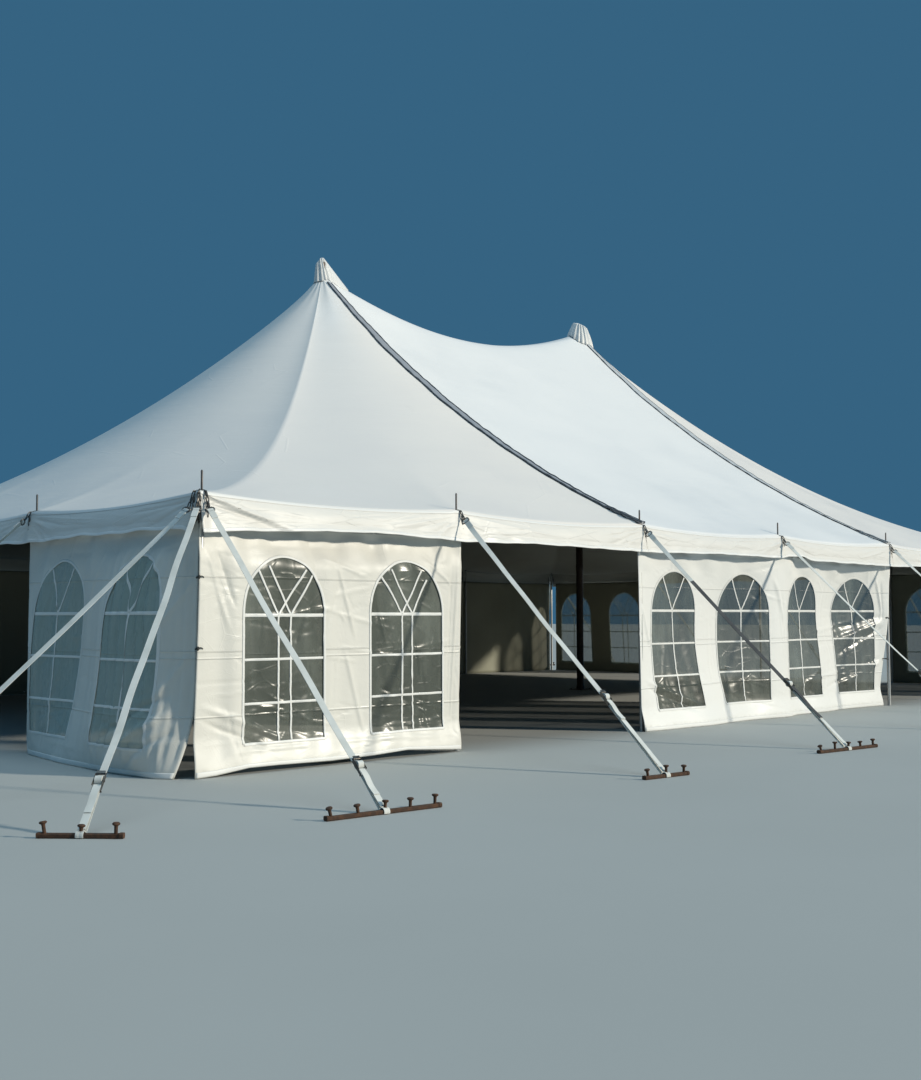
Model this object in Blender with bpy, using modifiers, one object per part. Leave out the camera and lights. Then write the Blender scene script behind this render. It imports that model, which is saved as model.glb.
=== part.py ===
"""Marquee pole tent, 12.2 m by 18.3 m, with two centre poles, side walls and guy straps.

Metres, +Z up. The origin is on the ground under the middle of the canopy.
+X runs along the long front side and +Y towards the back wall.
"""
import math

import bmesh
import bpy
from mathutils import Matrix

# Plan of the poles
BAY = 3.048
END_BAYS = 2
MIDDLE_BAYS = 2
WIDE_BAYS = 4

# Canopy
EAVE_Z = 2.43
PEAK_Z = 6.55
RIDGE_DIP = 0.45
CANOPY_T = 0.005
EAVE_OVERHANG = 0.06
EAVE_SAG = 0.055
EAVE_PULL = 0.010
VALANCE_DROP = 0.325
SEAM_GAP = 0.004
SEAM_CURVE = 0.38
RIDGE_CURVE = 0.31
RIDGE_ROUND = 0.03
HIP_ROUND = 0.8
SAG_POWER = 6
PEAK_START = 0.006
ROOF_ROWS = 8
ROW_POWER = 1.2
BAY_COLUMNS = 4
VALANCE_ROWS = 1

# Lacing flap over each seam
FLAP_WIDTH = 0.13
FLAP_END_WIDTH = 0.07
FLAP_T = 0.004
FLAP_LIFT = 0.005
FLAP_START = 0.02
FLAP_FULLNESS = 6.0

# Poles
POLE_R = 0.024
PIN_R = 0.0095
PIN_LENGTH = 0.19
PIN_HOLE_DEPTH = 0.05
CENTRE_POLE_R = 0.064
CENTRE_POLE_SIDES = 16
CENTRE_HOLE_DEPTH = 0.5
BASE_PLATE = 0.30
BASE_PLATE_T = 0.012
POLE_SIDES = 8
PIN_SIDES = 6

# Cap on each centre pole
CAP_TOP_Z = 6.88
CAP_HEIGHT = 0.36
CAP_BOTTOM_R = 0.20
CAP_TOP_R = 0.115
CAP_T = 0.006

# Rope that carries the walls
ROPE_R = 0.009
ROPE_Z = 2.085
ROPE_CLEAR_OF_POLE = 0.0055
ROPE_SAG_CLOSED = 0.045
ROPE_SAG_OPEN = 0.015
ROPE_SEGMENTS = 4
ROPE_END_GAP = 0.006

# Walls
WALL_CLEAR_OF_POLE = 0.0085
WALL_CORNER_INSET = 0.055
WALL_WIDE_INSET = 0.115
WALL_LAP = 0.07
WALL_SLIP = 0.22
FLAT_BILLOW = 0.02
MIDDLE_BILLOW = 0.17
BACK_BILLOW = 0.05
LEFT_BILLOW = 0.39
RIGHT_BILLOW = 0.12
BILLOW_POWER = 0.7
BILLOW_FALL = 1.2
PULL_POWER = 4
WALL_T = 0.005
WALL_ROW_SHARES = (0, 0.1, 0.38, 0.66, 0.94, 1)
WALL_COLUMNS = 8
WALL_END_SHARE = 0.2
WALL_FOOT_Z = 0.0

# Windows
WINDOW_WIDTH = 0.92
WINDOW_BOTTOM = 0.24
WINDOW_TOP = 1.90
WINDOW_RISE = 0.50
WINDOW_ARC_STEPS = 12
FRONT_LEFT_SHIFT = 0.11
WINDOW_CUT_DEPTH = 0.7
PANE_T = 0.003
PANE_MARGIN = 0.03

# Guys
GUY_REACH = 2.82
CORNER_REACH = 2.64
DIAGONAL_REACH = 2.97
FRONT_LEAN_DEGREES = 5.5
CORNER_LEAN_DEGREES = 4.5
DIAGONAL_LEAN_DEGREES = 1.8
EYE_RAISE = 0.055
EYE_R = 0.028
EYE_T = 0.010
LINK_WIDTH = 0.018
LINK_LAP = 0.003
LINK_T = 0.007
LINK_CLEAR_OF_EAVE = 0.012
STRAP_TOP_OUT = 0.05
STRAP_TOP_DROP = 0.05
CORNER_STRAP_TOP_DROP = 0.12
STRAP_WIDTH = 0.05
STRAP_T = 0.005
LOOP_T = 0.014
RATCHET_AT = 0.74
CORNER_RATCHET_AT = 0.88
RATCHET_LENGTH = 0.20
RATCHET_T = 0.034

# Stake bars and stakes
BAR_WIDTH = 0.05
BAR_T = 0.036
BAR_END = 0.05
STAKE_PITCH = 0.22
STAKE_R = 0.0125
STAKE_HEIGHT = 0.105
STAKE_SIDES = 6
SHORT_BAR_STAKES = 3
LONG_BAR_STAKES = 5

# Clearances between pieces that touch
FIT = 0.0004
TOUCH = 0.0003
ROPE_TOUCH = 0.0005
PANE_TOUCH = 0.0006

# Edges of round pieces
SHARP_ANGLE = math.radians(40)

# Derived plan
LONG_BAYS = MIDDLE_BAYS + 2 * END_BAYS
HALF_LONG = BAY * LONG_BAYS / 2
HALF_WIDE = BAY * WIDE_BAYS / 2
PEAK_X = BAY * MIDDLE_BAYS / 2
EDGE_LONG = HALF_LONG + EAVE_OVERHANG
EDGE_WIDE = HALF_WIDE + EAVE_OVERHANG
END_DEPTH = EDGE_LONG - PEAK_X
PEAK_RISE = PEAK_Z - EAVE_Z
ROPE_OFFSET = POLE_R + ROPE_CLEAR_OF_POLE
WALL_OFFSET = POLE_R + WALL_CLEAR_OF_POLE

COLOURS = {
    "canopy": ((0.80, 0.80, 0.78), 0.55, 0.0),
    "flap": ((0.30, 0.31, 0.33), 0.6, 0.0),
    "cap": ((0.78, 0.78, 0.76), 0.6, 0.0),
    "wall": ((0.76, 0.74, 0.68), 0.6, 0.0),
    "window": ((0.16, 0.17, 0.17), 0.15, 0.0),
    "centre_pole": ((0.10, 0.07, 0.05), 0.5, 0.0),
    "pole": ((0.62, 0.62, 0.60), 0.4, 0.8),
    "guy": ((0.62, 0.58, 0.50), 0.7, 0.0),
}


def clear_scene():
    for item in list(bpy.data.objects):
        bpy.data.objects.remove(item)


def make_collection(name):
    made = bpy.data.collections.new(name)
    bpy.context.scene.collection.children.link(made)
    return made


def make_material(name, finish):
    colour, roughness, metallic = COLOURS[finish]
    made = bpy.data.materials.new(name)
    made.use_nodes = True
    shader = made.node_tree.nodes["Principled BSDF"]
    shader.inputs["Base Color"].default_value = (*colour, 1.0)
    shader.inputs["Roughness"].default_value = roughness
    shader.inputs["Metallic"].default_value = metallic
    return made


def mesh_from(bm, name):
    mesh = bpy.data.meshes.new(name)
    bm.to_mesh(mesh)
    bm.free()
    return mesh


def add_piece(name, mesh, finish, smooth=False):
    """A named part of the tent, with a material of its own."""
    made = bpy.data.objects.new(name, mesh)
    TENT.objects.link(made)
    mesh.materials.clear()
    mesh.materials.append(make_material(name, finish))
    if smooth:
        mesh.shade_smooth()
        mesh.set_sharp_from_angle(angle=SHARP_ANGLE)
    return made


def add_cutter(name, mesh):
    made = bpy.data.objects.new(name, mesh)
    CUTTERS.objects.link(made)
    made.hide_render = True
    made.display_type = "WIRE"
    return made


def solidify(piece, thickness, offset):
    shell = piece.modifiers.new("shell", "SOLIDIFY")
    shell.thickness = thickness
    shell.offset = offset
    shell.use_even_offset = True


def boolean(piece, cutter, operation):
    step = piece.modifiers.new(cutter.name, "BOOLEAN")
    step.operation = operation
    step.solver = "EXACT"
    step.object = cutter
    return step


def baked(piece):
    """The piece's mesh with its modifiers applied. The piece itself is removed."""
    bpy.context.view_layer.update()
    graph = bpy.context.evaluated_depsgraph_get()
    mesh = bpy.data.meshes.new_from_object(piece.evaluated_get(graph))
    bpy.data.objects.remove(piece)
    return mesh


def add_cylinder(bm, x, y, bottom, top, radius, sides, top_radius=None):
    """An upright cylinder or cone between two heights."""
    height = top - bottom
    place = Matrix.Translation((x, y, bottom + height / 2))
    turn = Matrix.Rotation(math.pi / sides, 4, "Z")
    bmesh.ops.create_cone(
        bm, cap_ends=True, segments=sides, radius1=radius,
        radius2=radius if top_radius is None else top_radius,
        depth=height, matrix=place @ turn)


def add_box(bm, centre, size):
    matrix = Matrix.Translation(centre) @ Matrix.Diagonal((*size, 1))
    bmesh.ops.create_cube(bm, size=1, matrix=matrix)


def add_prism(bm, corners, depth):
    """A flat outline of corners, grown by the vector depth."""
    face = bm.faces.new([bm.verts.new(corner) for corner in corners])
    grown = bmesh.ops.extrude_face_region(bm, geom=[face], use_keep_orig=True)
    ends = [item for item in grown["geom"] if isinstance(item, bmesh.types.BMVert)]
    bmesh.ops.translate(bm, verts=ends, vec=depth)
    bmesh.ops.recalc_face_normals(bm, faces=bm.faces[:])


def fused(name, base, others):
    """One closed mesh from a closed base and closed shapes that reach into it and each other."""
    piece = bpy.data.objects.new(name, base)
    CUTTERS.objects.link(piece)
    cutter = add_cutter(name + "_more", others)
    boolean(piece, cutter, "UNION").use_self = True
    mesh = baked(piece)
    bpy.data.objects.remove(cutter)
    return mesh


def cut(name, mesh, cutter_mesh):
    """The mesh with the cutter's shapes taken out of it."""
    piece = bpy.data.objects.new(name, mesh)
    CUTTERS.objects.link(piece)
    cutter = add_cutter(name + "_cut", cutter_mesh)
    boolean(piece, cutter, "DIFFERENCE")
    result = baked(piece)
    bpy.data.objects.remove(cutter)
    return result


def grid_mesh(name, columns, rows, place, outward, keep=None, shift=0.0):
    """A grid of columns by rows, each corner (column, row) put at place(column, row).

    Faces are turned towards outward(centre). keep, if given, says which faces stay.
    The grid is in triangles, so that both skins of a shell made from it bend alike.
    The grid can then be shifted along its own normals.
    """
    bm = bmesh.new()
    bmesh.ops.create_grid(bm, x_segments=columns, y_segments=rows, size=0.5)
    for vert in bm.verts:
        vert.co.x = round((vert.co.x + 0.5) * columns)
        vert.co.y = round((vert.co.y + 0.5) * rows)
    if keep:
        spare = [face for face in bm.faces if not keep(*face.calc_center_median().xy)]
        bmesh.ops.delete(bm, geom=spare, context="FACES")
    for vert in bm.verts:
        vert.co = place(round(vert.co.x), round(vert.co.y))
    bmesh.ops.triangulate(bm, faces=bm.faces[:], quad_method="FIXED")
    bm.normal_update()
    facing = sum(face.normal.dot(outward(face.calc_center_median())) for face in bm.faces)
    if facing < 0:
        bmesh.ops.reverse_faces(bm, faces=bm.faces[:])
        bm.normal_update()
    moves = [vert.normal * shift for vert in bm.verts]
    for vert, move in zip(bm.verts, moves):
        vert.co += move
    return mesh_from(bm, name)


# Roof form

def bay_arc(bays):
    """0 at a pole and 1 half way to the next."""
    part = bays % 1
    return 4 * part * (1 - part)


def row_share(row):
    """Distance of a roof row from the peak or ridge, as a share of the way to the eave."""
    return (row / ROOF_ROWS) ** ROW_POWER


def fall(share, curve):
    """Height left above the eave, from 1 at the peak to 0 at the eave."""
    left = 1 - share
    return (1 - curve) * left + curve * left ** 2


def end_height(along, across):
    """Roof height over an end, where both are shares of the way from the peak to the eave."""
    share = max(abs(along), abs(across))
    if share == 0:
        return PEAK_Z
    corner = min(abs(along), abs(across)) / share
    widening = HIP_ROUND * (1 - share ** 2) * (math.hypot(1, corner) - 1)
    return EAVE_Z + PEAK_RISE * fall(share * (1 + widening), SEAM_CURVE)


def middle_height(x, across):
    """Roof height between the peaks, where across is the share of the way to the eave."""
    middleness = 1 - (x / PEAK_X) ** 2
    ridge = PEAK_Z - RIDGE_DIP * middleness
    soft = RIDGE_ROUND * middleness
    share = (math.hypot(across, soft) - soft) / (math.hypot(1, soft) - soft)
    curve = SEAM_CURVE + (RIDGE_CURVE - SEAM_CURVE) * middleness
    return EAVE_Z + (ridge - EAVE_Z) * fall(share, curve)


def roof_height(x, across):
    """Roof height near a seam, on either side of it."""
    if abs(x) <= PEAK_X:
        return middle_height(x, across)
    return end_height((abs(x) - PEAK_X) / END_DEPTH, across)


def middle_point(column, row):
    """A corner of the middle section's grid, which hangs down as a valance at both eaves."""
    last = ROOF_ROWS + VALANCE_ROWS
    from_ridge = row - last
    side = math.copysign(1, from_ridge)
    count = abs(from_ridge)
    bays = column / BAY_COLUMNS
    half = PEAK_X - SEAM_GAP / 2
    x = -half + 2 * half * column / (MIDDLE_BAYS * BAY_COLUMNS)
    share = row_share(min(count, ROOF_ROWS))
    slack = bay_arc(bays) * share ** SAG_POWER
    y = side * (share * EDGE_WIDE - EAVE_PULL * slack)
    z = middle_height(x, share) - EAVE_SAG * slack
    return (x, y, hang(z, count))


def hang(z, count):
    """Height of a row: the roof's own, or down the valance past the last roof row."""
    if count <= ROOF_ROWS:
        return z
    down = (count - ROOF_ROWS) / VALANCE_ROWS
    return z + (EAVE_Z - VALANCE_DROP - z) * down


def end_edge(bays):
    """Eave point from the peak and its outward direction, bays counted from the back seam."""
    around = WIDE_BAYS + 2 * END_BAYS
    if bays < END_BAYS:
        return (bays / END_BAYS * END_DEPTH, EDGE_WIDE), (0, 1)
    if bays > around - END_BAYS:
        return ((around - bays) / END_BAYS * END_DEPTH, -EDGE_WIDE), (0, -1)
    return (END_DEPTH, EDGE_WIDE * (1 - 2 * (bays - END_BAYS) / WIDE_BAYS)), (1, 0)


def end_point(column, row):
    """A corner of the right end section's grid, from the peak out to the valance's hem."""
    bays = column / BAY_COLUMNS
    edge, out = end_edge(bays)
    share = max(row_share(min(row, ROOF_ROWS)), PEAK_START)
    slack = bay_arc(bays) * share ** SAG_POWER
    x = share * edge[0] - out[0] * EAVE_PULL * slack
    y = share * edge[1] - out[1] * EAVE_PULL * slack
    z = end_height(share * edge[0] / END_DEPTH, share * edge[1] / EDGE_WIDE)
    return (PEAK_X + SEAM_GAP / 2 + x, y, hang(z - EAVE_SAG * slack, row))


def mirrored(place):
    """The same point on the other side of the middle, left for right."""
    def left(column, row):
        x, y, z = place(column, row)
        return (-x, y, z)
    return left


def up_and_out(centre):
    """Outward direction on the canopy: up on the roof, sideways on the valance."""
    if centre.z > EAVE_Z - EAVE_SAG:
        return (0, 0, 1)
    return (centre.x, centre.y, 0)


def pole_spots(side):
    """Plan positions of the side poles in one row. The long rows hold the corners."""
    if side in ("front", "back"):
        y = -HALF_WIDE if side == "front" else HALF_WIDE
        return [(-HALF_LONG + BAY * step, y) for step in range(LONG_BAYS + 1)]
    x = -HALF_LONG if side == "left" else HALF_LONG
    return [(x, -HALF_WIDE + BAY * step) for step in range(1, WIDE_BAYS)]


def all_spots():
    return [spot for side in ("front", "back", "left", "right") for spot in pole_spots(side)]


def hole_cutters():
    """Cylinders for the pin grommets and for the centre poles' holes."""
    bm = bmesh.new()
    for x, y in all_spots():
        add_cylinder(bm, x, y, EAVE_Z - PIN_HOLE_DEPTH, EAVE_Z + PIN_LENGTH, PIN_R + FIT,
                     PIN_SIDES)
    for x in (-PEAK_X, PEAK_X):
        add_cylinder(bm, x, 0, PEAK_Z - CENTRE_HOLE_DEPTH, CAP_TOP_Z, CENTRE_POLE_R + FIT,
                     CENTRE_POLE_SIDES)
    return add_cutter("pole_holes", mesh_from(bm, "pole_holes"))


def make_canopy(holes):
    end_columns = (WIDE_BAYS + 2 * END_BAYS) * BAY_COLUMNS
    end_rows = ROOF_ROWS + VALANCE_ROWS
    sections = {
        "canopy_left_end": (end_columns, end_rows, mirrored(end_point)),
        "canopy_middle": (MIDDLE_BAYS * BAY_COLUMNS, 2 * end_rows, middle_point),
        "canopy_right_end": (end_columns, end_rows, end_point),
    }
    for name, (columns, rows, place) in sections.items():
        piece = add_piece(name, grid_mesh(name, columns, rows, place, up_and_out), "canopy")
        solidify(piece, CANOPY_T, -1)
        boolean(piece, holes, "DIFFERENCE")


def flap_width(share):
    """Width of the lacing flap, narrow at the peak and at the eave."""
    fullness = min(1.0, FLAP_FULLNESS * share * (1 - share))
    return FLAP_END_WIDTH + (FLAP_WIDTH - FLAP_END_WIDTH) * fullness


def make_flap(name, seam_x, side, holes):
    """A strip over one seam, from under the cap to one eave. side is -1 in front, 1 behind."""
    def place(column, row):
        share = max(FLAP_START, row_share(row))
        x = seam_x + (column - 1) * flap_width(share) / 2
        y = side * share * (EDGE_WIDE - FLAP_T)
        return (x, y, roof_height(x, share) + FLAP_LIFT)

    mesh = grid_mesh(name, 2, ROOF_ROWS, place, lambda centre: (0, 0, 1))
    piece = add_piece(name, mesh, "flap")
    solidify(piece, FLAP_T, 1)
    boolean(piece, holes, "DIFFERENCE")


def make_cap(name, x):
    """An open cone over the top of a centre pole."""
    bm = bmesh.new()
    add_cylinder(bm, x, 0, CAP_TOP_Z - CAP_HEIGHT, CAP_TOP_Z, CAP_BOTTOM_R,
                 CENTRE_POLE_SIDES, CAP_TOP_R)
    bottom = min(bm.faces, key=lambda face: face.calc_center_median().z)
    bmesh.ops.delete(bm, geom=[bottom], context="FACES_ONLY")
    piece = add_piece(name, mesh_from(bm, name), "cap", smooth=True)
    solidify(piece, CAP_T, -1)


def make_centre_pole(name, x):
    """A round pole on a square base plate, up to the inside of its cap."""
    plate = bmesh.new()
    add_box(plate, (x, 0, BASE_PLATE_T / 2), (BASE_PLATE, BASE_PLATE, BASE_PLATE_T))
    pole = bmesh.new()
    add_cylinder(pole, x, 0, BASE_PLATE_T / 2, CAP_TOP_Z - CAP_T - TOUCH, CENTRE_POLE_R,
                 CENTRE_POLE_SIDES)
    mesh = fused(name, mesh_from(plate, name), mesh_from(pole, name + "_pole"))
    add_piece(name, mesh, "centre_pole", smooth=True)


# Side poles with the rope that carries the walls

def closed_bays(side):
    """Numbers of the bays that a wall closes, counted from the left or from the front."""
    return {
        "front": (0, 2, 3, 5),
        "back": tuple(range(LONG_BAYS)),
        "left": (0, WIDE_BAYS - 1),
        "right": (0, WIDE_BAYS - 1),
    }[side]


def rope_height(side, along):
    """Height of the rope's middle at a distance along its side from the tent's middle."""
    half = HALF_LONG if side in ("front", "back") else HALF_WIDE
    steps = (along + half) / BAY * ROPE_SEGMENTS
    before = min(math.floor(steps), round(2 * half / BAY) * ROPE_SEGMENTS - 1)
    bay = before // ROPE_SEGMENTS
    dip = ROPE_SAG_CLOSED if bay in closed_bays(side) else ROPE_SAG_OPEN
    low = bay_arc((before % ROPE_SEGMENTS) / ROPE_SEGMENTS)
    high = bay_arc((before % ROPE_SEGMENTS + 1) / ROPE_SEGMENTS)
    return ROPE_Z - dip * (low + (high - low) * (steps - before))


def on_side(side, along, out, z):
    """World point from a distance along a side and a distance out from its pole line."""
    if side == "front":
        return (along, -HALF_WIDE - out, z)
    if side == "back":
        return (along, HALF_WIDE + out, z)
    if side == "left":
        return (-HALF_LONG - out, along, z)
    return (HALF_LONG + out, along, z)


def out_of(side, length):
    """Vector of that length straight out of a side."""
    near = on_side(side, 0, 0, 0)
    far = on_side(side, 0, length, 0)
    return [b - a for a, b in zip(near, far)]


def rope_mesh(name, side):
    """A tube along one side, a point for each part of a bay."""
    half = HALF_LONG if side in ("front", "back") else HALF_WIDE
    bays = LONG_BAYS if side in ("front", "back") else WIDE_BAYS
    count = bays * ROPE_SEGMENTS
    inset = 0 if side in ("front", "back") else POLE_R + ROPE_END_GAP
    curve = bpy.data.curves.new(name, "CURVE")
    curve.dimensions = "3D"
    curve.bevel_depth = ROPE_R
    curve.bevel_resolution = 0
    curve.use_fill_caps = True
    spline = curve.splines.new("POLY")
    spline.points.add(count)
    for step, point in enumerate(spline.points):
        along = -half + BAY * step / ROPE_SEGMENTS
        along = max(-half + inset, min(half - inset, along))
        point.co = (*on_side(side, along, ROPE_OFFSET, rope_height(side, along)), 1)
    item = bpy.data.objects.new(name, curve)
    CUTTERS.objects.link(item)
    mesh = baked(item)
    bm = bmesh.new()
    bm.from_mesh(mesh)
    bmesh.ops.remove_doubles(bm, verts=bm.verts[:], dist=0.0001)
    return mesh_from(bm, name)


def make_side_poles(name, side):
    """The poles of one side with their pins, tied together by the wall rope."""
    poles = bmesh.new()
    for x, y in pole_spots(side):
        add_cylinder(poles, x, y, 0, EAVE_Z, POLE_R, POLE_SIDES)
    pins = bmesh.new()
    for x, y in pole_spots(side):
        add_cylinder(pins, x, y, EAVE_Z - PIN_R, EAVE_Z + PIN_LENGTH, PIN_R, PIN_SIDES)
    mesh = fused(name, rope_mesh(name, side), mesh_from(poles, name + "_poles"))
    mesh = fused(name, mesh, mesh_from(pins, name + "_pins"))
    add_piece(name, mesh, "pole", smooth=True)


# Walls

def arch_cutters(name, side, windows):
    """Prisms with arched heads, one through each window."""
    joined = bmesh.new()
    half = WINDOW_WIDTH / 2
    spring = WINDOW_TOP - WINDOW_RISE
    for middle in windows:
        outline = [(-half, WINDOW_BOTTOM), (half, WINDOW_BOTTOM)]
        for step in range(WINDOW_ARC_STEPS + 1):
            angle = math.pi * step / WINDOW_ARC_STEPS
            outline.append((half * math.cos(angle), spring + WINDOW_RISE * math.sin(angle)))
        corners = [on_side(side, middle + a, -WINDOW_CUT_DEPTH, z) for a, z in outline]
        add_prism(joined, corners, out_of(side, 2 * WINDOW_CUT_DEPTH))
    return mesh_from(joined, name)


def wall_stations(start, end):
    """Places of a panel's columns: its ends, and even steps from the side's middle."""
    step = BAY / WALL_COLUMNS
    clear = WALL_END_SHARE * step
    first = math.ceil((start + clear) / step)
    last = math.floor((end - clear) / step)
    return [start] + [step * count for count in range(first, last + 1)] + [end]


def make_wall(name, side, top, foot, windows, billow):
    """A wall panel under the rope, its window sheet and the cut windows.

    top and foot are the panel's two ends along its side, at the rope and at the ground.
    billow(along, height share) gives how far the cloth stands out from its plane.
    """
    spots = wall_stations(*top)
    columns = len(spots) - 1
    rows = len(WALL_ROW_SHARES) - 1

    def place(column, row):
        rise = WALL_ROW_SHARES[row]
        along = spots[column]
        if column == 0:
            along = foot[0] + (top[0] - foot[0]) * rise
        if column == columns:
            along = foot[1] + (top[1] - foot[1]) * rise
        under = rope_height(side, along) - ROPE_R - ROPE_TOUCH
        z = WALL_FOOT_Z + (under - WALL_FOOT_Z) * rise
        return on_side(side, along, WALL_OFFSET + billow(along, rise), z)

    def outward(centre):
        return out_of(side, 1)

    piece = add_piece(name, grid_mesh(name, columns, rows, place, outward), "wall")
    solidify(piece, WALL_T, 0)
    if not windows:
        return
    cutter = add_cutter(name + "_windows", arch_cutters(name + "_windows", side, windows))
    boolean(piece, cutter, "DIFFERENCE")
    reach = WINDOW_WIDTH / 2 + PANE_MARGIN
    first = max(index for index, spot in enumerate(spots)
                if index == 0 or spot < min(windows) - reach)
    last = min(index for index, spot in enumerate(spots)
               if index == columns or spot > max(windows) + reach)

    def keep(column, row):
        return first < column < last and 1 < row < rows - 1

    sheet = grid_mesh(name + "_sheet", columns, rows, place, outward, keep,
                      -(WALL_T + PANE_T) / 2 - PANE_TOUCH)
    pane = add_piece(name.replace("_wall", "") + "_windows", sheet, "window")
    solidify(pane, PANE_T, 0)


def belly(depth, start, end, power=1.0):
    """A billow that is deepest at the ground in the middle and nothing at the rope."""
    def out(along, rise):
        part = min(1.0, max(0.0, (along - start) / (end - start)))
        return depth * math.sin(math.pi * part) ** power * (1 - rise) ** BILLOW_FALL
    return out


def pull_in(depth):
    """A billow in each bay that dies out at the poles and at the rope."""
    def out(along, rise):
        bow = math.sin(math.pi * along / BAY) ** PULL_POWER
        return -depth * bow * math.sin(math.pi * rise) ** 2
    return out


def make_walls():
    """The panels of all four sides. Their windows stand in pairs, two to a bay."""
    pair = BAY / 4
    corner = HALF_LONG - WALL_CORNER_INSET
    long_end = HALF_LONG - BAY
    windows = (-long_end - 3 * pair + FRONT_LEFT_SHIFT, -long_end - pair + FRONT_LEFT_SHIFT)
    make_wall("front_left_wall", "front", (-corner, -long_end + WALL_LAP), (-corner, -long_end),
              windows, belly(FLAT_BILLOW, -corner, -long_end))
    windows = [-PEAK_X + pair + 2 * pair * step for step in range(2 * MIDDLE_BAYS)]
    make_wall("front_middle_wall", "front", (-PEAK_X - WALL_LAP, PEAK_X + WALL_LAP),
              (-PEAK_X - WALL_LAP, PEAK_X - WALL_SLIP), windows, pull_in(MIDDLE_BILLOW))
    windows = (long_end + pair, long_end + 3 * pair)
    make_wall("front_right_wall", "front", (long_end - WALL_LAP, corner), (long_end, corner),
              windows, belly(FLAT_BILLOW, long_end, corner))
    make_wall("back_wall", "back", (-corner, corner), (-corner, corner), (),
              pull_in(BACK_BILLOW))
    wide_end = HALF_WIDE - BAY
    near_end = wide_end - WALL_LAP
    wide_corner = HALF_WIDE - WALL_WIDE_INSET
    for side, depth in (("left", LEFT_BILLOW), ("right", RIGHT_BILLOW)):
        windows = (-wide_end - 3 * pair, -wide_end - pair)
        make_wall(side + "_front_wall", side, (-wide_corner, -near_end),
                  (-wide_corner, -near_end), windows,
                  belly(depth, -wide_corner, -near_end, BILLOW_POWER))
        windows = (wide_end + pair, wide_end + 3 * pair)
        make_wall(side + "_back_wall", side, (near_end, wide_corner), (near_end, wide_corner),
                  windows, belly(RIGHT_BILLOW, near_end, wide_corner, BILLOW_POWER))


# Guys

def add_stakes(bm, reach, stakes):
    """A bar on the ground across the guy's end, with the row of stakes that hold it."""
    length = STAKE_PITCH * (stakes - 1) + 2 * BAR_END
    add_box(bm, (reach, 0, BAR_T / 2), (BAR_WIDTH, length, BAR_T))
    for step in range(stakes):
        y = STAKE_PITCH * (step - (stakes - 1) / 2)
        add_cylinder(bm, reach, y, BAR_T / 2, STAKE_HEIGHT, STAKE_R, STAKE_SIDES)


def add_band(bm, points, thickness, width):
    """A flat band of one width that follows points, given as (out, height)."""
    upper = []
    lower = []
    for index, (out, height) in enumerate(points):
        before = points[max(index - 1, 0)]
        after = points[min(index + 1, len(points) - 1)]
        length = math.dist(before, after)
        aside = ((before[1] - after[1]) / length, (after[0] - before[0]) / length)
        upper.append((out + aside[0] * thickness / 2, -width / 2, height + aside[1] * thickness / 2))
        lower.append((out - aside[0] * thickness / 2, -width / 2, height - aside[1] * thickness / 2))
    add_prism(bm, upper + lower[::-1], (0, width, 0))


def strap_outline(top, foot, ratchet_at):
    """Side view of a strap from top to foot: webbing, ratchet, and webbing laid double."""
    length = math.dist(top, foot)
    along = ((foot[0] - top[0]) / length, (foot[1] - top[1]) / length)
    start = ratchet_at * length - RATCHET_LENGTH / 2
    end = start + RATCHET_LENGTH
    steps = [(0, STRAP_T), (start, STRAP_T), (start, RATCHET_T), (end, RATCHET_T),
             (end, LOOP_T), (length, LOOP_T)]

    def edge(far, off):
        return (top[0] + along[0] * far - along[1] * off, 0,
                top[1] + along[1] * far + along[0] * off)

    upper = [edge(far, thick / 2) for far, thick in steps]
    lower = [edge(far, -thick / 2) for far, thick in reversed(steps)]
    return upper + lower


def add_arm(bm, turn, edge, drop, reach, ratchet_at, stakes):
    """One guy in the direction turn: link, strap, stake bar and stakes.

    The link goes from the eye over the eave's edge, and drops from there to the strap's top.
    """
    arm = bmesh.new()
    knee = (edge + LINK_CLEAR_OF_EAVE, EAVE_Z + LINK_CLEAR_OF_EAVE)
    top = (knee[0] + STRAP_TOP_OUT, knee[1] - drop)
    foot = (reach, BAR_T / 2)
    far = math.dist(top, foot)
    lapped = (top[0] + STRAP_T * (foot[0] - top[0]) / far, top[1] + STRAP_T * (foot[1] - top[1]) / far)
    add_band(arm, [(EYE_R - LINK_LAP, EAVE_Z + EYE_RAISE), knee, lapped], LINK_T, LINK_WIDTH)
    corners = [(x, -STRAP_WIDTH / 2, z) for x, y, z in strap_outline(top, foot, ratchet_at)]
    add_prism(arm, corners, (0, STRAP_WIDTH, 0))
    add_stakes(arm, reach, stakes)
    bmesh.ops.transform(arm, matrix=Matrix.Rotation(turn, 4, "Z"), verts=arm.verts[:])
    mesh = mesh_from(arm, "arm")
    bm.from_mesh(mesh)
    bpy.data.meshes.remove(mesh)


def guy_mesh(name, arms):
    """A guy round one pin. Each arm is (direction, edge, drop, reach, ratchet's place, stakes)."""
    eye_z = EAVE_Z + EYE_RAISE
    eye = bmesh.new()
    add_cylinder(eye, 0, 0, eye_z - EYE_T / 2, eye_z + EYE_T / 2, EYE_R, POLE_SIDES)
    others = bmesh.new()
    for arm in arms:
        add_arm(others, *arm)
    mesh = fused(name, mesh_from(eye, name), mesh_from(others, name + "_arms"))
    hole = bmesh.new()
    add_cylinder(hole, 0, 0, eye_z - EYE_T, eye_z + EYE_T, PIN_R + FIT, PIN_SIDES)
    return cut(name, mesh, mesh_from(hole, name + "_hole"))


def place_guy(name, arms, spot):
    piece = add_piece(name, guy_mesh(name, arms), "guy")
    piece.location = (*spot, 0)


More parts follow.
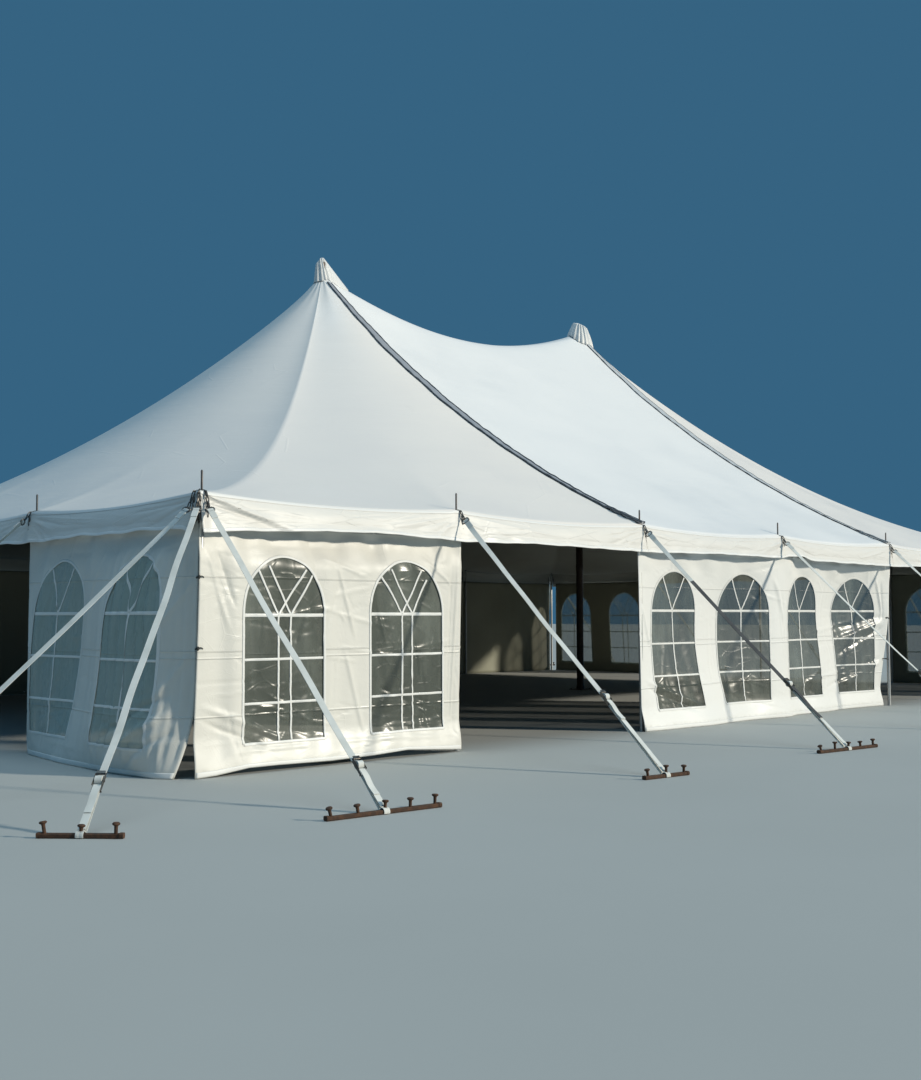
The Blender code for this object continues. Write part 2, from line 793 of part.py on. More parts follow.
def make_guys():
    """A guy at each side pole. Corner poles have three and seam poles a longer stake bar.

    As in the photo, the front guys and those of the front left corner are staked a little
    off square, towards the left.
    """
    directions = {"front": -math.pi / 2, "back": math.pi / 2, "left": math.pi, "right": 0.0}
    for side, turn in directions.items():
        spots = pole_spots(side)
        if side in ("front", "back"):
            spots = spots[1:-1]
        if side == "front":
            turn -= math.radians(FRONT_LEAN_DEGREES)
        for number, spot in enumerate(spots, 1):
            seam = side in ("front", "back") and abs(abs(spot[0]) - PEAK_X) < BAY / 2
            stakes = LONG_BAR_STAKES if seam else SHORT_BAR_STAKES
            arms = [(turn, EAVE_OVERHANG, STRAP_TOP_DROP, GUY_REACH, RATCHET_AT, stakes)]
            place_guy(f"{side}_guy_{number}", arms, spot)
    for side in ("front", "back"):
        for end in ("left", "right"):
            straight = directions[side]
            diagonal = math.atan2(math.sin(straight), math.cos(directions[end]))
            if (side, end) == ("front", "left"):
                straight -= math.radians(CORNER_LEAN_DEGREES)
                diagonal -= math.radians(DIAGONAL_LEAN_DEGREES)
            edge = EAVE_OVERHANG
            drop = CORNER_STRAP_TOP_DROP
            place = CORNER_RATCHET_AT
            arms = [(straight, edge, drop, CORNER_REACH, place, LONG_BAR_STAKES),
                    (directions[end], edge, drop, CORNER_REACH, place, LONG_BAR_STAKES),
                    (diagonal, edge * math.sqrt(2), drop, DIAGONAL_REACH, place, SHORT_BAR_STAKES)]
            x = HALF_LONG if end == "right" else -HALF_LONG
            y = HALF_WIDE if side == "back" else -HALF_WIDE
            place_guy(f"{side}_{end}_corner_guys", arms, (x, y))


clear_scene()
TENT = make_collection("marquee_tent")
CUTTERS = make_collection("cutters")
HOLES = hole_cutters()
make_canopy(HOLES)
for side_name, seam in (("left", -PEAK_X), ("right", PEAK_X)):
    make_flap(f"lacing_flap_front_{side_name}", seam, -1, HOLES)
    make_flap(f"lacing_flap_back_{side_name}", seam, 1, HOLES)
    make_cap("peak_cap_" + side_name, seam)
    make_centre_pole("centre_pole_" + side_name, seam)
for side_name in ("front", "back", "left", "right"):
    make_side_poles(side_name + "_side_poles", side_name)
make_walls()
make_guys()
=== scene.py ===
import math

import bpy
import numpy as np
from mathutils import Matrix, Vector
from mathutils.geometry import delaunay_2d_cdt


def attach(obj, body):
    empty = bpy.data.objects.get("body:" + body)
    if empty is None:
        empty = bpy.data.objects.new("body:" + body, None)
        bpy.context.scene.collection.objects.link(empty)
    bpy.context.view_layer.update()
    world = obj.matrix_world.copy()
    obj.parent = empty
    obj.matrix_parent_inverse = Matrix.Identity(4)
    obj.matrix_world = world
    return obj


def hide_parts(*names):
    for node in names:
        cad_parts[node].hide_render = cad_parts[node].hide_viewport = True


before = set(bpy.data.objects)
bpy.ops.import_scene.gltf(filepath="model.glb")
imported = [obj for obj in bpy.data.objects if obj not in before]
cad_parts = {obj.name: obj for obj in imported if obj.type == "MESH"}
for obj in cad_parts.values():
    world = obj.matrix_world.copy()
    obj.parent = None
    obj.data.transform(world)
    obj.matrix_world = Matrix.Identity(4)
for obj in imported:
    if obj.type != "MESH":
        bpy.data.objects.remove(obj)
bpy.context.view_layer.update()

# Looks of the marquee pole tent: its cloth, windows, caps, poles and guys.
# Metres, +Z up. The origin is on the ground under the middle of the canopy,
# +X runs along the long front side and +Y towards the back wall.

# Plan and roof, as in the solids
BAY = 3.048
HALF_LONG = 3 * BAY
HALF_WIDE = 2 * BAY
PEAK_X = BAY
EAVE_Z = 2.43
PEAK_Z = 6.55
RIDGE_DIP = 0.45
OVERHANG = 0.06
EDGE_LONG = HALF_LONG + OVERHANG
EDGE_WIDE = HALF_WIDE + OVERHANG
END_DEPTH = EDGE_LONG - PEAK_X
SEAM_CURVE = 0.38
RIDGE_CURVE = 0.31
RIDGE_ROUND = 0.03
HIP_ROUND = 0.8
EAVE_SAG = 0.055
EAVE_PULL = 0.010
SAG_POWER = 6
SEAM_GAP = 0.004
CANOPY_T = 0.003
ENDS = (("left", -1), ("right", 1))
SLOPES = (("front", -1), ("back", 1))
LONG_SIDES = ("front", "back")

# Steps of the meshes
BAY_STEPS = 30
ROOF_STEPS = 60
# Share of the way down at which the cloth of an end starts
PEAK_HOLE = 0.012
VALANCE_ROWS = 38
FINE_BAY_STEPS = 64
PLAIN_BAY_STEPS = 24

# Poles
POLE_R = 0.024
PIN_R = 0.0095
PIN_LENGTH = 0.19
CENTRE_POLE_R = 0.064
CENTRE_POLE_TOP = 6.85
BASE_PLATE = 0.30
BASE_PLATE_T = 0.012
BOLT_CIRCLE_R = 0.17

# Walls
ROPE_R = 0.006
ROPE_Z = 2.175
WALL_TOP_RISE = 0.010
ROPE_OFFSET = POLE_R + 0.0055
ROPE_SAG_CLOSED = 0.012
ROPE_SAG_OPEN = 0.015
WALL_OFFSET = POLE_R + 0.0085
WALL_T = 0.003
WINDOW_HALF = 0.46
WINDOW_BOTTOM = 0.24
WINDOW_TOP = 1.90
WINDOW_RISE = 0.50

# Guys
GUY_REACH = 2.82
CORNER_REACH = 2.64
DIAGONAL_REACH = 2.97
FRONT_LEAN = math.radians(5.5)
CORNER_LEAN = math.radians(4.5)
DIAGONAL_LEAN = math.radians(1.8)
RATCHET_AT = 0.74
CORNER_RATCHET_AT = 0.88
STRAP_WIDTH = 0.05
STRAP_T = 0.004
STRAP_SAG = 0.012
EYE_R = 0.022
EYE_RISE = 0.012
# Pitch and wire of the chain to the strap, and of the loose end that hangs from it
CHAIN = (0.048, 0.0058)
HANGING_CHAIN = (0.040, 0.0048)
LINK_CLEAR = 0.010
STRAP_TOP_OUT = 0.07
STRAP_TOP_DROP = 0.095
CORNER_STRAP_TOP_DROP = 0.155
BAR_T = 0.030
BAR_WIDTH = 0.042
STRAP_LOOP_R = 0.028
SPOOL_R = 0.031
STAKE_PITCH = 0.22
STAKE_R = 0.0115
STAKE_TOP = 0.105


# Camera, at the photograph's viewpoint

def make_camera():
    data = bpy.data.cameras.new("camera")
    data.lens = 42.624
    data.sensor_width = 36
    data.clip_end = 500
    camera = bpy.data.objects.new("camera", data)
    camera.location = (-15.211, -15.452, 1.358)
    camera.rotation_euler = [math.radians(angle) for angle in (93.412, 0.115, -44.437)]
    bpy.context.scene.collection.objects.link(camera)
    bpy.context.scene.camera = camera


# Light and floor

FLOOR_HALF = 150.0


def add_sun(name, azimuth, elevation, strength, colour, softness):
    """A soft distant light. azimuth runs from the front (-Y) towards +X."""
    data = bpy.data.lights.new(name, "SUN")
    data.energy = strength
    data.color = colour
    data.angle = math.radians(softness)
    lamp = bpy.data.objects.new(name, data)
    turn = math.radians(azimuth)
    rise = math.radians(elevation)
    towards = Vector((math.sin(turn) * math.cos(rise), -math.cos(turn) * math.cos(rise),
                      math.sin(rise)))
    lamp.rotation_mode = "QUATERNION"
    lamp.rotation_quaternion = towards.to_track_quat("Z", "Y")
    bpy.context.scene.collection.objects.link(lamp)


def make_studio():
    add_sun("key_light", 32, 21, 3.1, (1.0, 0.93, 0.79), 3.5)
    add_sun("top_light", 0, 88, 1.05, (0.70, 0.89, 1.0), 36)
    world = bpy.data.worlds.new("studio")
    world.use_nodes = True
    background = world.node_tree.nodes["Background"]
    background.inputs["Color"].default_value = (0.15, 0.51, 0.90, 1)
    background.inputs["Strength"].default_value = 0.245
    bpy.context.scene.world = world
    corners = FLOOR_HALF * np.array([(-1, -1, 0), (1, -1, 0), (1, 1, 0), (-1, 1, 0)])
    mesh = mesh_of("floor", corners, [(0, 1, 2, 3)])
    mesh.materials.append(floor_finish())
    floor = bpy.data.objects.new("floor", mesh)
    floor.location.z = -0.001
    bpy.context.scene.collection.objects.link(floor)
    bpy.context.scene.view_settings.view_transform = "Standard"


# Materials

def principled(name, colour, roughness, metallic=0.0):
    made = bpy.data.materials.new(name)
    made.use_nodes = True
    shader = made.node_tree.nodes["Principled BSDF"]
    shader.inputs["Base Color"].default_value = (*colour, 1)
    shader.inputs["Roughness"].default_value = roughness
    shader.inputs["Metallic"].default_value = metallic
    return made


def add_node(made, kind, output, inputs, **settings):
    """A shader node of a material. An input that is a socket is linked, and any other is set."""
    tree = made.node_tree
    added = tree.nodes.new("ShaderNode" + kind)
    for key, value in settings.items():
        setattr(added, key, value)
    for key, value in inputs.items():
        if isinstance(value, bpy.types.NodeSocket):
            tree.links.new(value, added.inputs[key])
        else:
            added.inputs[key].default_value = value
    return added.outputs[output]


def shader_input(made, name):
    """An input of the material's shader, and what it has now: a linked socket or a value."""
    socket = made.node_tree.nodes["Principled BSDF"].inputs[name]
    return socket, socket.links[0].from_socket if socket.is_linked else socket.default_value


def texture(made, kind, scale, stretch=(1, 1, 1), turn=(0, 0, 0), settings=(), **values):
    """A pattern in the piece's own coordinates."""
    place = add_node(made, "TexCoord", "Object", {})
    place = add_node(made, "Mapping", "Vector", {"Vector": place, "Scale": stretch, "Rotation": turn})
    return add_node(made, "Tex" + kind, "Distance" if kind == "Voronoi" else "Fac",
                    {"Vector": place, "Scale": scale, **values}, **dict(settings))


def noise(made, scale, detail, roughness=0.5, stretch=(1, 1, 1)):
    return texture(made, "Noise", scale, stretch, Detail=detail, Roughness=roughness)


def levels(made, source, low, high, out_low=0.0, out_high=1.0):
    """source stretched so that low gives out_low and high gives out_high."""
    return add_node(made, "MapRange", "Result", {"Value": source, "From Min": low, "From Max": high,
                                                 "To Min": out_low, "To Max": out_high})


def tint(made, colour, factor, *limits):
    """Mixes another colour into the base colour where factor is 1, or its levels where limits
    are given."""
    socket, now = shader_input(made, "Base Color")
    if limits:
        factor = levels(made, factor, *limits)
    mixed = add_node(made, "Mix", "Result", {"A": now, "B": (*colour, 1), "Factor": factor},
                     data_type="RGBA")
    made.node_tree.links.new(mixed, socket)


def roughen(made, source, low, high):
    """Lets the roughness run from low to high with source."""
    made.node_tree.links.new(levels(made, source, 0.3, 0.7, low, high),
                             shader_input(made, "Roughness")[0])


def bump(made, source, distance, strength=1.0):
    """Adds a relief of that depth in metres to the normal."""
    socket, now = shader_input(made, "Normal")
    inputs = {"Strength": strength, "Distance": distance, "Height": source}
    if socket.is_linked:
        inputs["Normal"] = now
    made.node_tree.links.new(add_node(made, "Bump", "Normal", inputs), socket)


def product(made, first, second):
    return add_node(made, "Math", "Value", {0: first, 1: second}, operation="MULTIPLY")


def height_above_ground(made):
    return add_node(made, "SeparateXYZ", "Z", {"Vector": add_node(made, "TexCoord", "Object", {})})


def crumple(made, scale, width, depth, stretch=(1, 1, 1), turn=(0, 0, 0), amount=0.5):
    """Sharp straight creases that meet in corners, as in cloth that was packed away."""
    cells = texture(made, "Voronoi", scale, stretch, turn, {"feature": "DISTANCE_TO_EDGE"})
    line = levels(made, cells, 0.0, width * scale, 1.0, 0.0)
    shown = levels(made, noise(made, scale * 0.6, 2), 0.62 - 0.3 * amount, 0.70 - 0.2 * amount)
    bump(made, product(made, line, shown), depth, 0.9)


def floor_finish():
    made = principled("floor_finish", (0.43, 0.44, 0.42), 0.9)
    tint(made, (0.39, 0.40, 0.38), noise(made, 0.35, 3), 0.35, 0.7, 0, 0.5)
    return made


def vinyl(name, colour, shade, creases, crease_depth):
    """Coated tent cloth: weave, soft patches of another shade, fine creases and handling marks."""
    made = principled(name, colour, 0.42)
    patches = noise(made, 0.9, 4, 0.55)
    tint(made, shade, patches, 0.38, 0.72, 0, 0.55)
    marks = noise(made, 3, 6, 0.7, (1, 1, 0.25))
    tint(made, [0.88 * part for part in shade], marks, 0.62, 0.84, 0, 0.4)
    roughen(made, patches, 0.34, 0.54)
    bump(made, noise(made, 2.2, 5, 0.6, creases), crease_depth, 0.8)
    bump(made, noise(made, 420, 2), 0.0004, 0.35)
    return made


def painted_shade_inner_face(name, colour):
    """Inner face of the cloth, painted dark grey as painted shade: the cloth is white on both faces, and its
    inside lies in the tent's own shade.
    """
    made = principled(name, colour, 0.6)
    tint(made, [0.8 * part for part in colour], noise(made, 1.1, 4), 0.4, 0.7, 0, 0.6)
    bump(made, noise(made, 2.5, 4), 0.006, 0.8)
    return made


def dirty_hem(made, top, colour):
    """Soil on the lowest part of a wall."""
    low = levels(made, height_above_ground(made), 0.0, top, 1.0, 0.0)
    spots = levels(made, noise(made, 14, 5, 0.7), 0.40, 0.75, 0.05, 0.9)
    tint(made, colour, product(made, low, spots))


def level_creases(made, heights, width, depth):
    """Creases that run level right across a wall, where it was folded to be stored."""
    whole = heights[-1] + 0.1
    place = levels(made, height_above_ground(made), 0.0, whole)
    ramp = add_node(made, "ValToRGB", "Color", {"Fac": place})
    stops = ramp.node.color_ramp.elements
    stops[0].color = stops[1].color = (0, 0, 0, 1)
    for height in heights:
        for off, value in ((-width, 0.0), (0.0, 1.0), (width, 0.0)):
            stops.new((height + off) / whole).color = (value, value, value, 1)
    bump(made, ramp, depth)


def clear_vinyl(name, colour, hazy, alpha):
    """Window sheet: hazy in patches, scratched, rippled and creased."""
    made = principled(name, colour, 0.10)
    shader = made.node_tree.nodes["Principled BSDF"]
    shader.inputs["Alpha"].default_value = alpha
    shader.inputs["IOR"].default_value = 1.54
    tint(made, hazy, noise(made, 1.7, 5, 0.6, (1, 1, 0.5)), 0.42, 0.75, 0, 0.8)
    roughen(made, noise(made, 9, 7, 0.75, (1, 1, 0.3)), 0.20, 0.36)
    bump(made, noise(made, 4, 3, 0.5, (1, 1, 0.6)), 0.008, 0.6)
    crumple(made, 3.4, 0.018, 0.0018, (1, 1, 1.6), amount=0.6)
    level_creases(made, (0.50, 1.03, 1.70), 0.010, 0.006)
    return made


def webbing(name, colour, edge):
    """Woven polyester strap: ribs across it, soiled in places."""
    made = principled(name, colour, 0.75)
    tint(made, edge, noise(made, 6, 4), 0.40, 0.75, 0, 0.8)
    bump(made, texture(made, "Voronoi", 230.0), 0.0008, 0.7)
    return made


def painted_metal(name, colour, worn, roughness, metallic):
    """Metal with scratches, and patches of another tone where it is worn."""
    made = principled(name, colour, roughness, metallic)
    tint(made, worn, noise(made, 11, 6, 0.65), 0.45, 0.70, 0, 0.5)
    streaks = noise(made, 30, 4, 0.5, (1, 1, 0.06))
    roughen(made, streaks, roughness - 0.1, roughness + 0.15)
    bump(made, streaks, 0.0006, 0.5)
    return made


def rusty_steel():
    made = principled("rusty_steel", (0.060, 0.034, 0.022), 0.85, 0.15)
    flakes = noise(made, 26, 8, 0.7)
    tint(made, (0.115, 0.055, 0.028), flakes, 0.42, 0.62)
    pits = texture(made, "Voronoi", 90.0)
    tint(made, (0.030, 0.020, 0.016), pits, 0.0, 0.35, 0.8, 0)
    bump(made, flakes, 0.002, 0.8)
    bump(made, pits, 0.001, 0.5)
    return made


def rope_finish():
    made = principled("rope_finish", (0.11, 0.105, 0.08), 0.85)
    strands = texture(made, "Wave", 60.0, turn=(0.6, 0.6, 0), Distortion=2.0)
    tint(made, (0.06, 0.057, 0.045), strands, 0.2, 0.9, 0, 0.7)
    bump(made, strands, 0.002, 0.8)
    return made


# Meshes from points

def mesh_of(name, points, faces):
    mesh = bpy.data.meshes.new(name)
    mesh.from_pydata(points.tolist(), [], faces)
    mesh.update()
    return mesh


def grid_faces(rows, columns):
    index = np.arange(rows * columns).reshape(rows, columns)
    sides = (index[:-1, :-1], index[:-1, 1:], index[1:, 1:], index[1:, :-1])
    return np.stack(sides, axis=-1).reshape(-1, 4)


def sleeve_faces(rows, sides, closed=False):
    """Faces round a row of rings, with both ends shut unless the row is closed on itself."""
    index = np.arange(rows * sides).reshape(rows, sides)
    start, following = (index, np.roll(index, -1, axis=0)) if closed else (index[:-1], index[1:])
    quads = np.stack([start, following, np.roll(following, -1, axis=1), np.roll(start, -1, axis=1)],
                     axis=-1).reshape(-1, 4).tolist()
    return quads + ([] if closed else [index[0].tolist(), index[-1, ::-1].tolist()])


def unit(rows):
    return rows / np.linalg.norm(rows, axis=-1, keepdims=True)


def circle(count):
    """Cosines and sines of even steps round a circle."""
    turns = np.linspace(0, 2 * np.pi, count, endpoint=False)
    return np.cos(turns), np.sin(turns)


def spaced(path, step, least=2):
    """Points along a path, about a step apart."""
    path = np.asarray(path, float)
    length = np.concatenate([[0], np.cumsum(np.linalg.norm(np.diff(path, axis=0), axis=1))])
    spots = np.linspace(0, length[-1], max(least, round(length[-1] / step) + 1))
    return np.stack([np.interp(spots, length, line) for line in path.T], axis=-1)


class Shape:
    """Points and faces gathered for one mesh. It can start from a grid of points, or from
    points and faces."""

    def __init__(self, points=None, faces=None):
        self.points, self.faces, self.finishes = [], [], []
        self.count = 0
        if points is not None:
            self.add(points, faces)

    def add(self, points, faces=None, finish=0):
        """finish is one number, or one for each face."""
        if faces is None:
            faces = grid_faces(*points.shape[:2])
        points = np.asarray(points, float).reshape(-1, 3)
        self.points.append(points)
        self.faces.extend([[int(corner) + self.count for corner in face] for face in faces])
        self.finishes.extend(np.broadcast_to(finish, len(faces)).tolist())
        self.count += len(points)

    def add_tube(self, path, radius, sides=8, closed=False):
        """A round tube along a path. radius is one number or one for each point."""
        path = np.asarray(path, float)
        radius = np.broadcast_to(radius, len(path))[:, None, None]
        if closed:
            ahead = unit(np.roll(path, -1, axis=0) - np.roll(path, 1, axis=0))
        else:
            ahead = unit(np.gradient(path, axis=0))
        side = unit(np.cross(ahead, np.eye(3)[np.argmin(np.abs(ahead).max(axis=0))]))
        across, over = (part[None, :, None] for part in circle(sides))
        ring = across * side[:, None, :] + over * np.cross(ahead, side)[:, None, :]
        self.add(path[:, None, :] + radius * ring, sleeve_faces(len(path), sides, closed))

    def add_turned(self, centre, profile, sides, finish=0):
        """A turned body about an upright axis. profile is its radii and heights, from the foot."""
        radius, height = np.array(profile[::-1], float).T[..., None]
        across, aside = circle(sides)
        rings = np.broadcast_arrays(radius * across, radius * aside, height)
        self.add(np.stack(rings, axis=-1) + centre, sleeve_faces(len(profile), sides), finish)

    def add_box(self, centre, size, axes, cut):
        """A box on three axes, with its long edges cut off."""
        far, y, z = np.array(size) / 2
        outline = [(-y + cut, -z), (y - cut, -z), (y, -z + cut), (y, z - cut),
                   (y - cut, z), (-y + cut, z), (-y, z - cut), (-y, -z + cut)]
        ends = [[centre + end * axes[0] + a * axes[1] + b * axes[2] for a, b in outline]
                for end in (far, -far)]
        self.add(ends, sleeve_faces(2, len(outline)))

    def mesh(self, name):
        made = mesh_of(name, np.concatenate(self.points), self.faces)
        if any(self.finishes):
            made.polygons.foreach_set("material_index", self.finishes)
        return made


def add_piece(name, shape, finishes, stands_for=(), shell=0.0, side=0.0, sharp=40, inner=0):
    """A shown piece on the tent. shell closes a cloth with that thickness, and inner is how
    many finishes further on its inner face takes."""
    mesh = shape.mesh(name)
    piece = bpy.data.objects.new(name, mesh)
    bpy.context.scene.collection.objects.link(piece)
    for finish in finishes:
        mesh.materials.append(finish)
    mesh.shade_smooth()
    if shell:
        solid = piece.modifiers.new("shell", "SOLIDIFY")
        solid.thickness = shell
        solid.offset = side
        solid.material_offset = inner
    elif sharp:
        mesh.set_sharp_from_angle(angle=math.radians(sharp))
    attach(piece, "root")
    if stands_for:
        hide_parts(*stands_for)
    return piece


# Folds in flat cloth

def smooth(share):
    share = np.clip(share, 0, 1)
    return share * share * (3 - 2 * share)


def fold(a, b, start, end, width, height):
    """A soft ridge along the line from start to end, dying out at both ends."""
    run = (end[0] - start[0], end[1] - start[1])
    length = math.hypot(*run)
    along = ((a - start[0]) * run[0] + (b - start[1]) * run[1]) / length ** 2
    off = ((a - start[0]) * run[1] - (b - start[1]) * run[0]) / length
    return height * smooth(4 * np.minimum(along, 1 - along)) * np.exp(-(off / width) ** 2)


def ridges(a, b, table):
    """Folds from a table of their start, end, width and height."""
    return sum(fold(a, b, *row) for row in table)


def loose_folds(a, b, seed, count, box, lengths, angles, width, height):
    """Random ridges inside box = (a0, a1, b0, b1), at angles in degrees from level."""
    rng = np.random.default_rng(seed)
    total = np.zeros_like(a)
    for _ in range(count):
        middle = (rng.uniform(box[0], box[1]), rng.uniform(box[2], box[3]))
        angle = math.radians(rng.uniform(*angles))
        half = rng.uniform(*lengths) / 2
        run = (half * math.cos(angle), half * math.sin(angle))
        start = (middle[0] - run[0], middle[1] - run[1])
        end = (middle[0] + run[0], middle[1] + run[1])
        total += fold(a, b, start, end, width * rng.uniform(0.6, 1.5),
                      height * rng.uniform(0.4, 1.0) * rng.choice((-1, 1)))
    return total


def waves(a, seed, count, shortest, longest):
    """A smooth random line through a, about 1 high."""
    rng = np.random.default_rng(seed)
    total = np.zeros_like(a)
    for _ in range(count):
        length = rng.uniform(shortest, longest)
        total += np.sin(2 * np.pi * (a / length + rng.uniform()))
    return total / math.sqrt(count)


# Roof form: that of the solids, with the ridge and hips pulled to the photographed outline

PEAK_CUSP = 0.12
SEAM_CUSP_REACH = 0.25
HIP_CUSP_REACH = 0.035
LEFT_HIP_CURVE = 0.10
RIGHT_HIP_CURVE = -0.06
RIDGE_LOWER = 0.03
# How sharp the hips are, from 0 to 1
HIP_CREASE = 0.65


def bay_arc(bays):
    """0 at a pole and 1 half way to the next."""
    part = bays % 1
    return 4 * part * (1 - part)


def fall(share, curve):
    left = 1 - share
    return (1 - curve) * left + curve * left ** 2


def end_height(along, across, hip_curve):
    """Roof height over an end, where along and across are shares of the way from peak to eave."""
    along, across = np.abs(along), np.abs(across)
    share = np.maximum(np.maximum(along, across), 1e-9)
    corner = np.minimum(along, across) / share
    bend = (1 - HIP_CREASE) * (np.hypot(1, corner) - 1)
    bend = bend + HIP_CREASE * (math.sqrt(2) - 1) * corner ** 2 * (2 - corner ** 2)
    widening = HIP_ROUND * (1 - share ** 2) * bend
    near_seam = np.clip(1 - along / np.maximum(across, 1e-9), 0, 1)
    reach = HIP_CUSP_REACH + (SEAM_CUSP_REACH - HIP_CUSP_REACH) * near_seam ** 2
    cusp = PEAK_CUSP * np.exp(-share / reach)
    curve = SEAM_CURVE + hip_curve * corner ** 2
    return EAVE_Z + (PEAK_Z - EAVE_Z) * fall(share * (1 + widening), curve) + cusp


def middle_height(x, across):
    middleness = 1 - (x / PEAK_X) ** 2
    ridge = PEAK_Z - RIDGE_DIP * middleness
    soft = RIDGE_ROUND * middleness
    share = (np.hypot(across, soft) - soft) / (np.hypot(1, soft) - soft)
    curve = SEAM_CURVE + (RIDGE_CURVE - SEAM_CURVE) * middleness
    pulled = PEAK_CUSP - (PEAK_CUSP + RIDGE_LOWER) * middleness
    return (EAVE_Z + (ridge - EAVE_Z) * fall(share, curve)
            + pulled * np.exp(-np.abs(across) / SEAM_CUSP_REACH))


def roof_height(x, y):
    """Roof height over any point of the plan."""
    across = np.abs(y) / EDGE_WIDE
    beyond = np.maximum(np.abs(x) - PEAK_X, 0) / END_DEPTH
    hip_curve = np.where(x < 0, LEFT_HIP_CURVE, RIGHT_HIP_CURVE)
    return np.where(np.abs(x) <= PEAK_X, middle_height(x, across),
                    end_height(beyond, across, hip_curve))


def pin_fan(bays, up):
    """Fine ridges that spread over the roof from each pin. up is the distance from the eave."""
    aside = (bays - np.round(bays)) * BAY
    far = np.hypot(aside, up)
    angle = np.arctan2(aside, up + 0.02)
    return 0.006 * np.cos(11 * angle) * np.exp(-far / 0.45) * smooth(far / 0.12)


def end_roof(bays, share, mirror):
    """Points of an end, from its bay counts along the eave and shares of the way down.
    mirror is 1 for the right end and -1 for the left."""
    edge_x = np.clip(np.minimum(bays, 8 - bays) / 2, 0, 1) * END_DEPTH
    edge_y = np.clip(4 - bays, -2, 2) / 2 * EDGE_WIDE
    out_x = np.where((bays >= 2) & (bays <= 6), 1.0, 0.0)
    out_y = np.where(bays <= 2, 1.0, 0.0) - np.where(bays >= 6, 1.0, 0.0)
    slack = bay_arc(bays) * share ** SAG_POWER
    x = share * edge_x - out_x * EAVE_PULL * slack
    y = share * edge_y - out_y * EAVE_PULL * slack
    z = end_height(share * edge_x / END_DEPTH, share * edge_y / EDGE_WIDE,
                   RIGHT_HIP_CURVE if mirror > 0 else LEFT_HIP_CURVE)
    z = z - EAVE_SAG * slack + pin_fan(bays, (1 - share) * HALF_WIDE)
    turn = np.arctan2(edge_y, edge_x)
    z = z + 0.004 * np.cos(22 * turn) * np.exp(-share / 0.05)
    return np.stack([mirror * (PEAK_X + SEAM_GAP / 2 + x), y, z], axis=-1)


def middle_roof(bays, share, side):
    """Points of one slope of the middle section. side is -1 in front and 1 behind."""
    x = (bays - 1) * (PEAK_X - SEAM_GAP / 2)
    slack = bay_arc(bays) * share ** SAG_POWER
    z = middle_height(x, share) - EAVE_SAG * slack + pin_fan(bays, (1 - share) * HALF_WIDE)
    y = side * (share * EDGE_WIDE - EAVE_PULL * slack)
    return np.stack([np.broadcast_to(x, z.shape), y, z], axis=-1)


def make_canopy():
    warm = vinyl("canopy_end_vinyl", (0.87, 0.82, 0.765), (0.81, 0.765, 0.71), (0.3, 0.3, 2.4), 0.010)
    cool = vinyl("canopy_middle_vinyl", (0.88, 0.87, 0.85), (0.83, 0.82, 0.80), (0.3, 0.3, 2.4), 0.008)
    crumple(warm, 1.1, 0.015, 0.0012, (1, 1, 1.5))
    # The canopy's inner face takes painted shade: dark grey, for the shade under the roof.
    inside = painted_shade_inner_face("canopy_inside_painted_shade", (0.30, 0.30, 0.27))
    rows = np.linspace(0, 1, ROOF_STEPS + 1)[:, None]
    bays = np.linspace(0, 2, 2 * BAY_STEPS + 1)
    front, back = (middle_roof(bays, rows, side) for side in (-1, 1))
    rows[0] = PEAK_HOLE
    bays = np.linspace(0, 8, 8 * BAY_STEPS + 1)
    for end, mirror in ENDS:
        name = f"canopy_{end}_end"
        cloth = add_piece(name + "_cloth", Shape(end_roof(bays, rows, mirror)[:, ::mirror]),
                          [warm, inside], [name], CANOPY_T, -1, inner=1)
    cloth = add_piece("canopy_middle_cloth", Shape(np.concatenate([front[::-1], back[1:]])),
                      [cool, inside], ["canopy_middle"], CANOPY_T, -1, inner=1)


# Valance

# Its hem, measured in the photo: (bays from the front left corner, height).
# The rest of the tent repeats a plain bay.
FRONT_HEM = ((-0.02, 2.074), (0.11, 2.10), (0.41, 2.137), (0.62, 2.151), (0.93, 2.123),
             (1.0, 2.112), (1.36, 2.132), (2.0, 2.108), (2.5, 2.136), (2.97, 2.128),
             (3.02, 2.158), (3.14, 2.162), (3.22, 2.115), (3.6, 2.104), (4.0, 2.094))
PLAIN_HEM_Z = 2.105
PLAIN_HEM_RISE = 0.018
PIN_CREASES = 7
VALANCE_FLARE = 0.065


def hem_height(x, y, bays):
    """Height of the valance's hem, wavy, and as measured along the front's left part."""
    plain = PLAIN_HEM_Z + PLAIN_HEM_RISE * bay_arc(bays) + 0.006 * waves(bays, 5, 5, 0.15, 0.6)
    count = (x + HALF_LONG) / BAY
    known = np.interp(count, *np.array(FRONT_HEM).T) + 0.003 * waves(bays, 6, 6, 0.08, 0.3)
    front = smooth((-y - HALF_WIDE + 0.1) / 0.1) * smooth((4.3 - count) / 0.3)
    return plain + (known - plain) * front


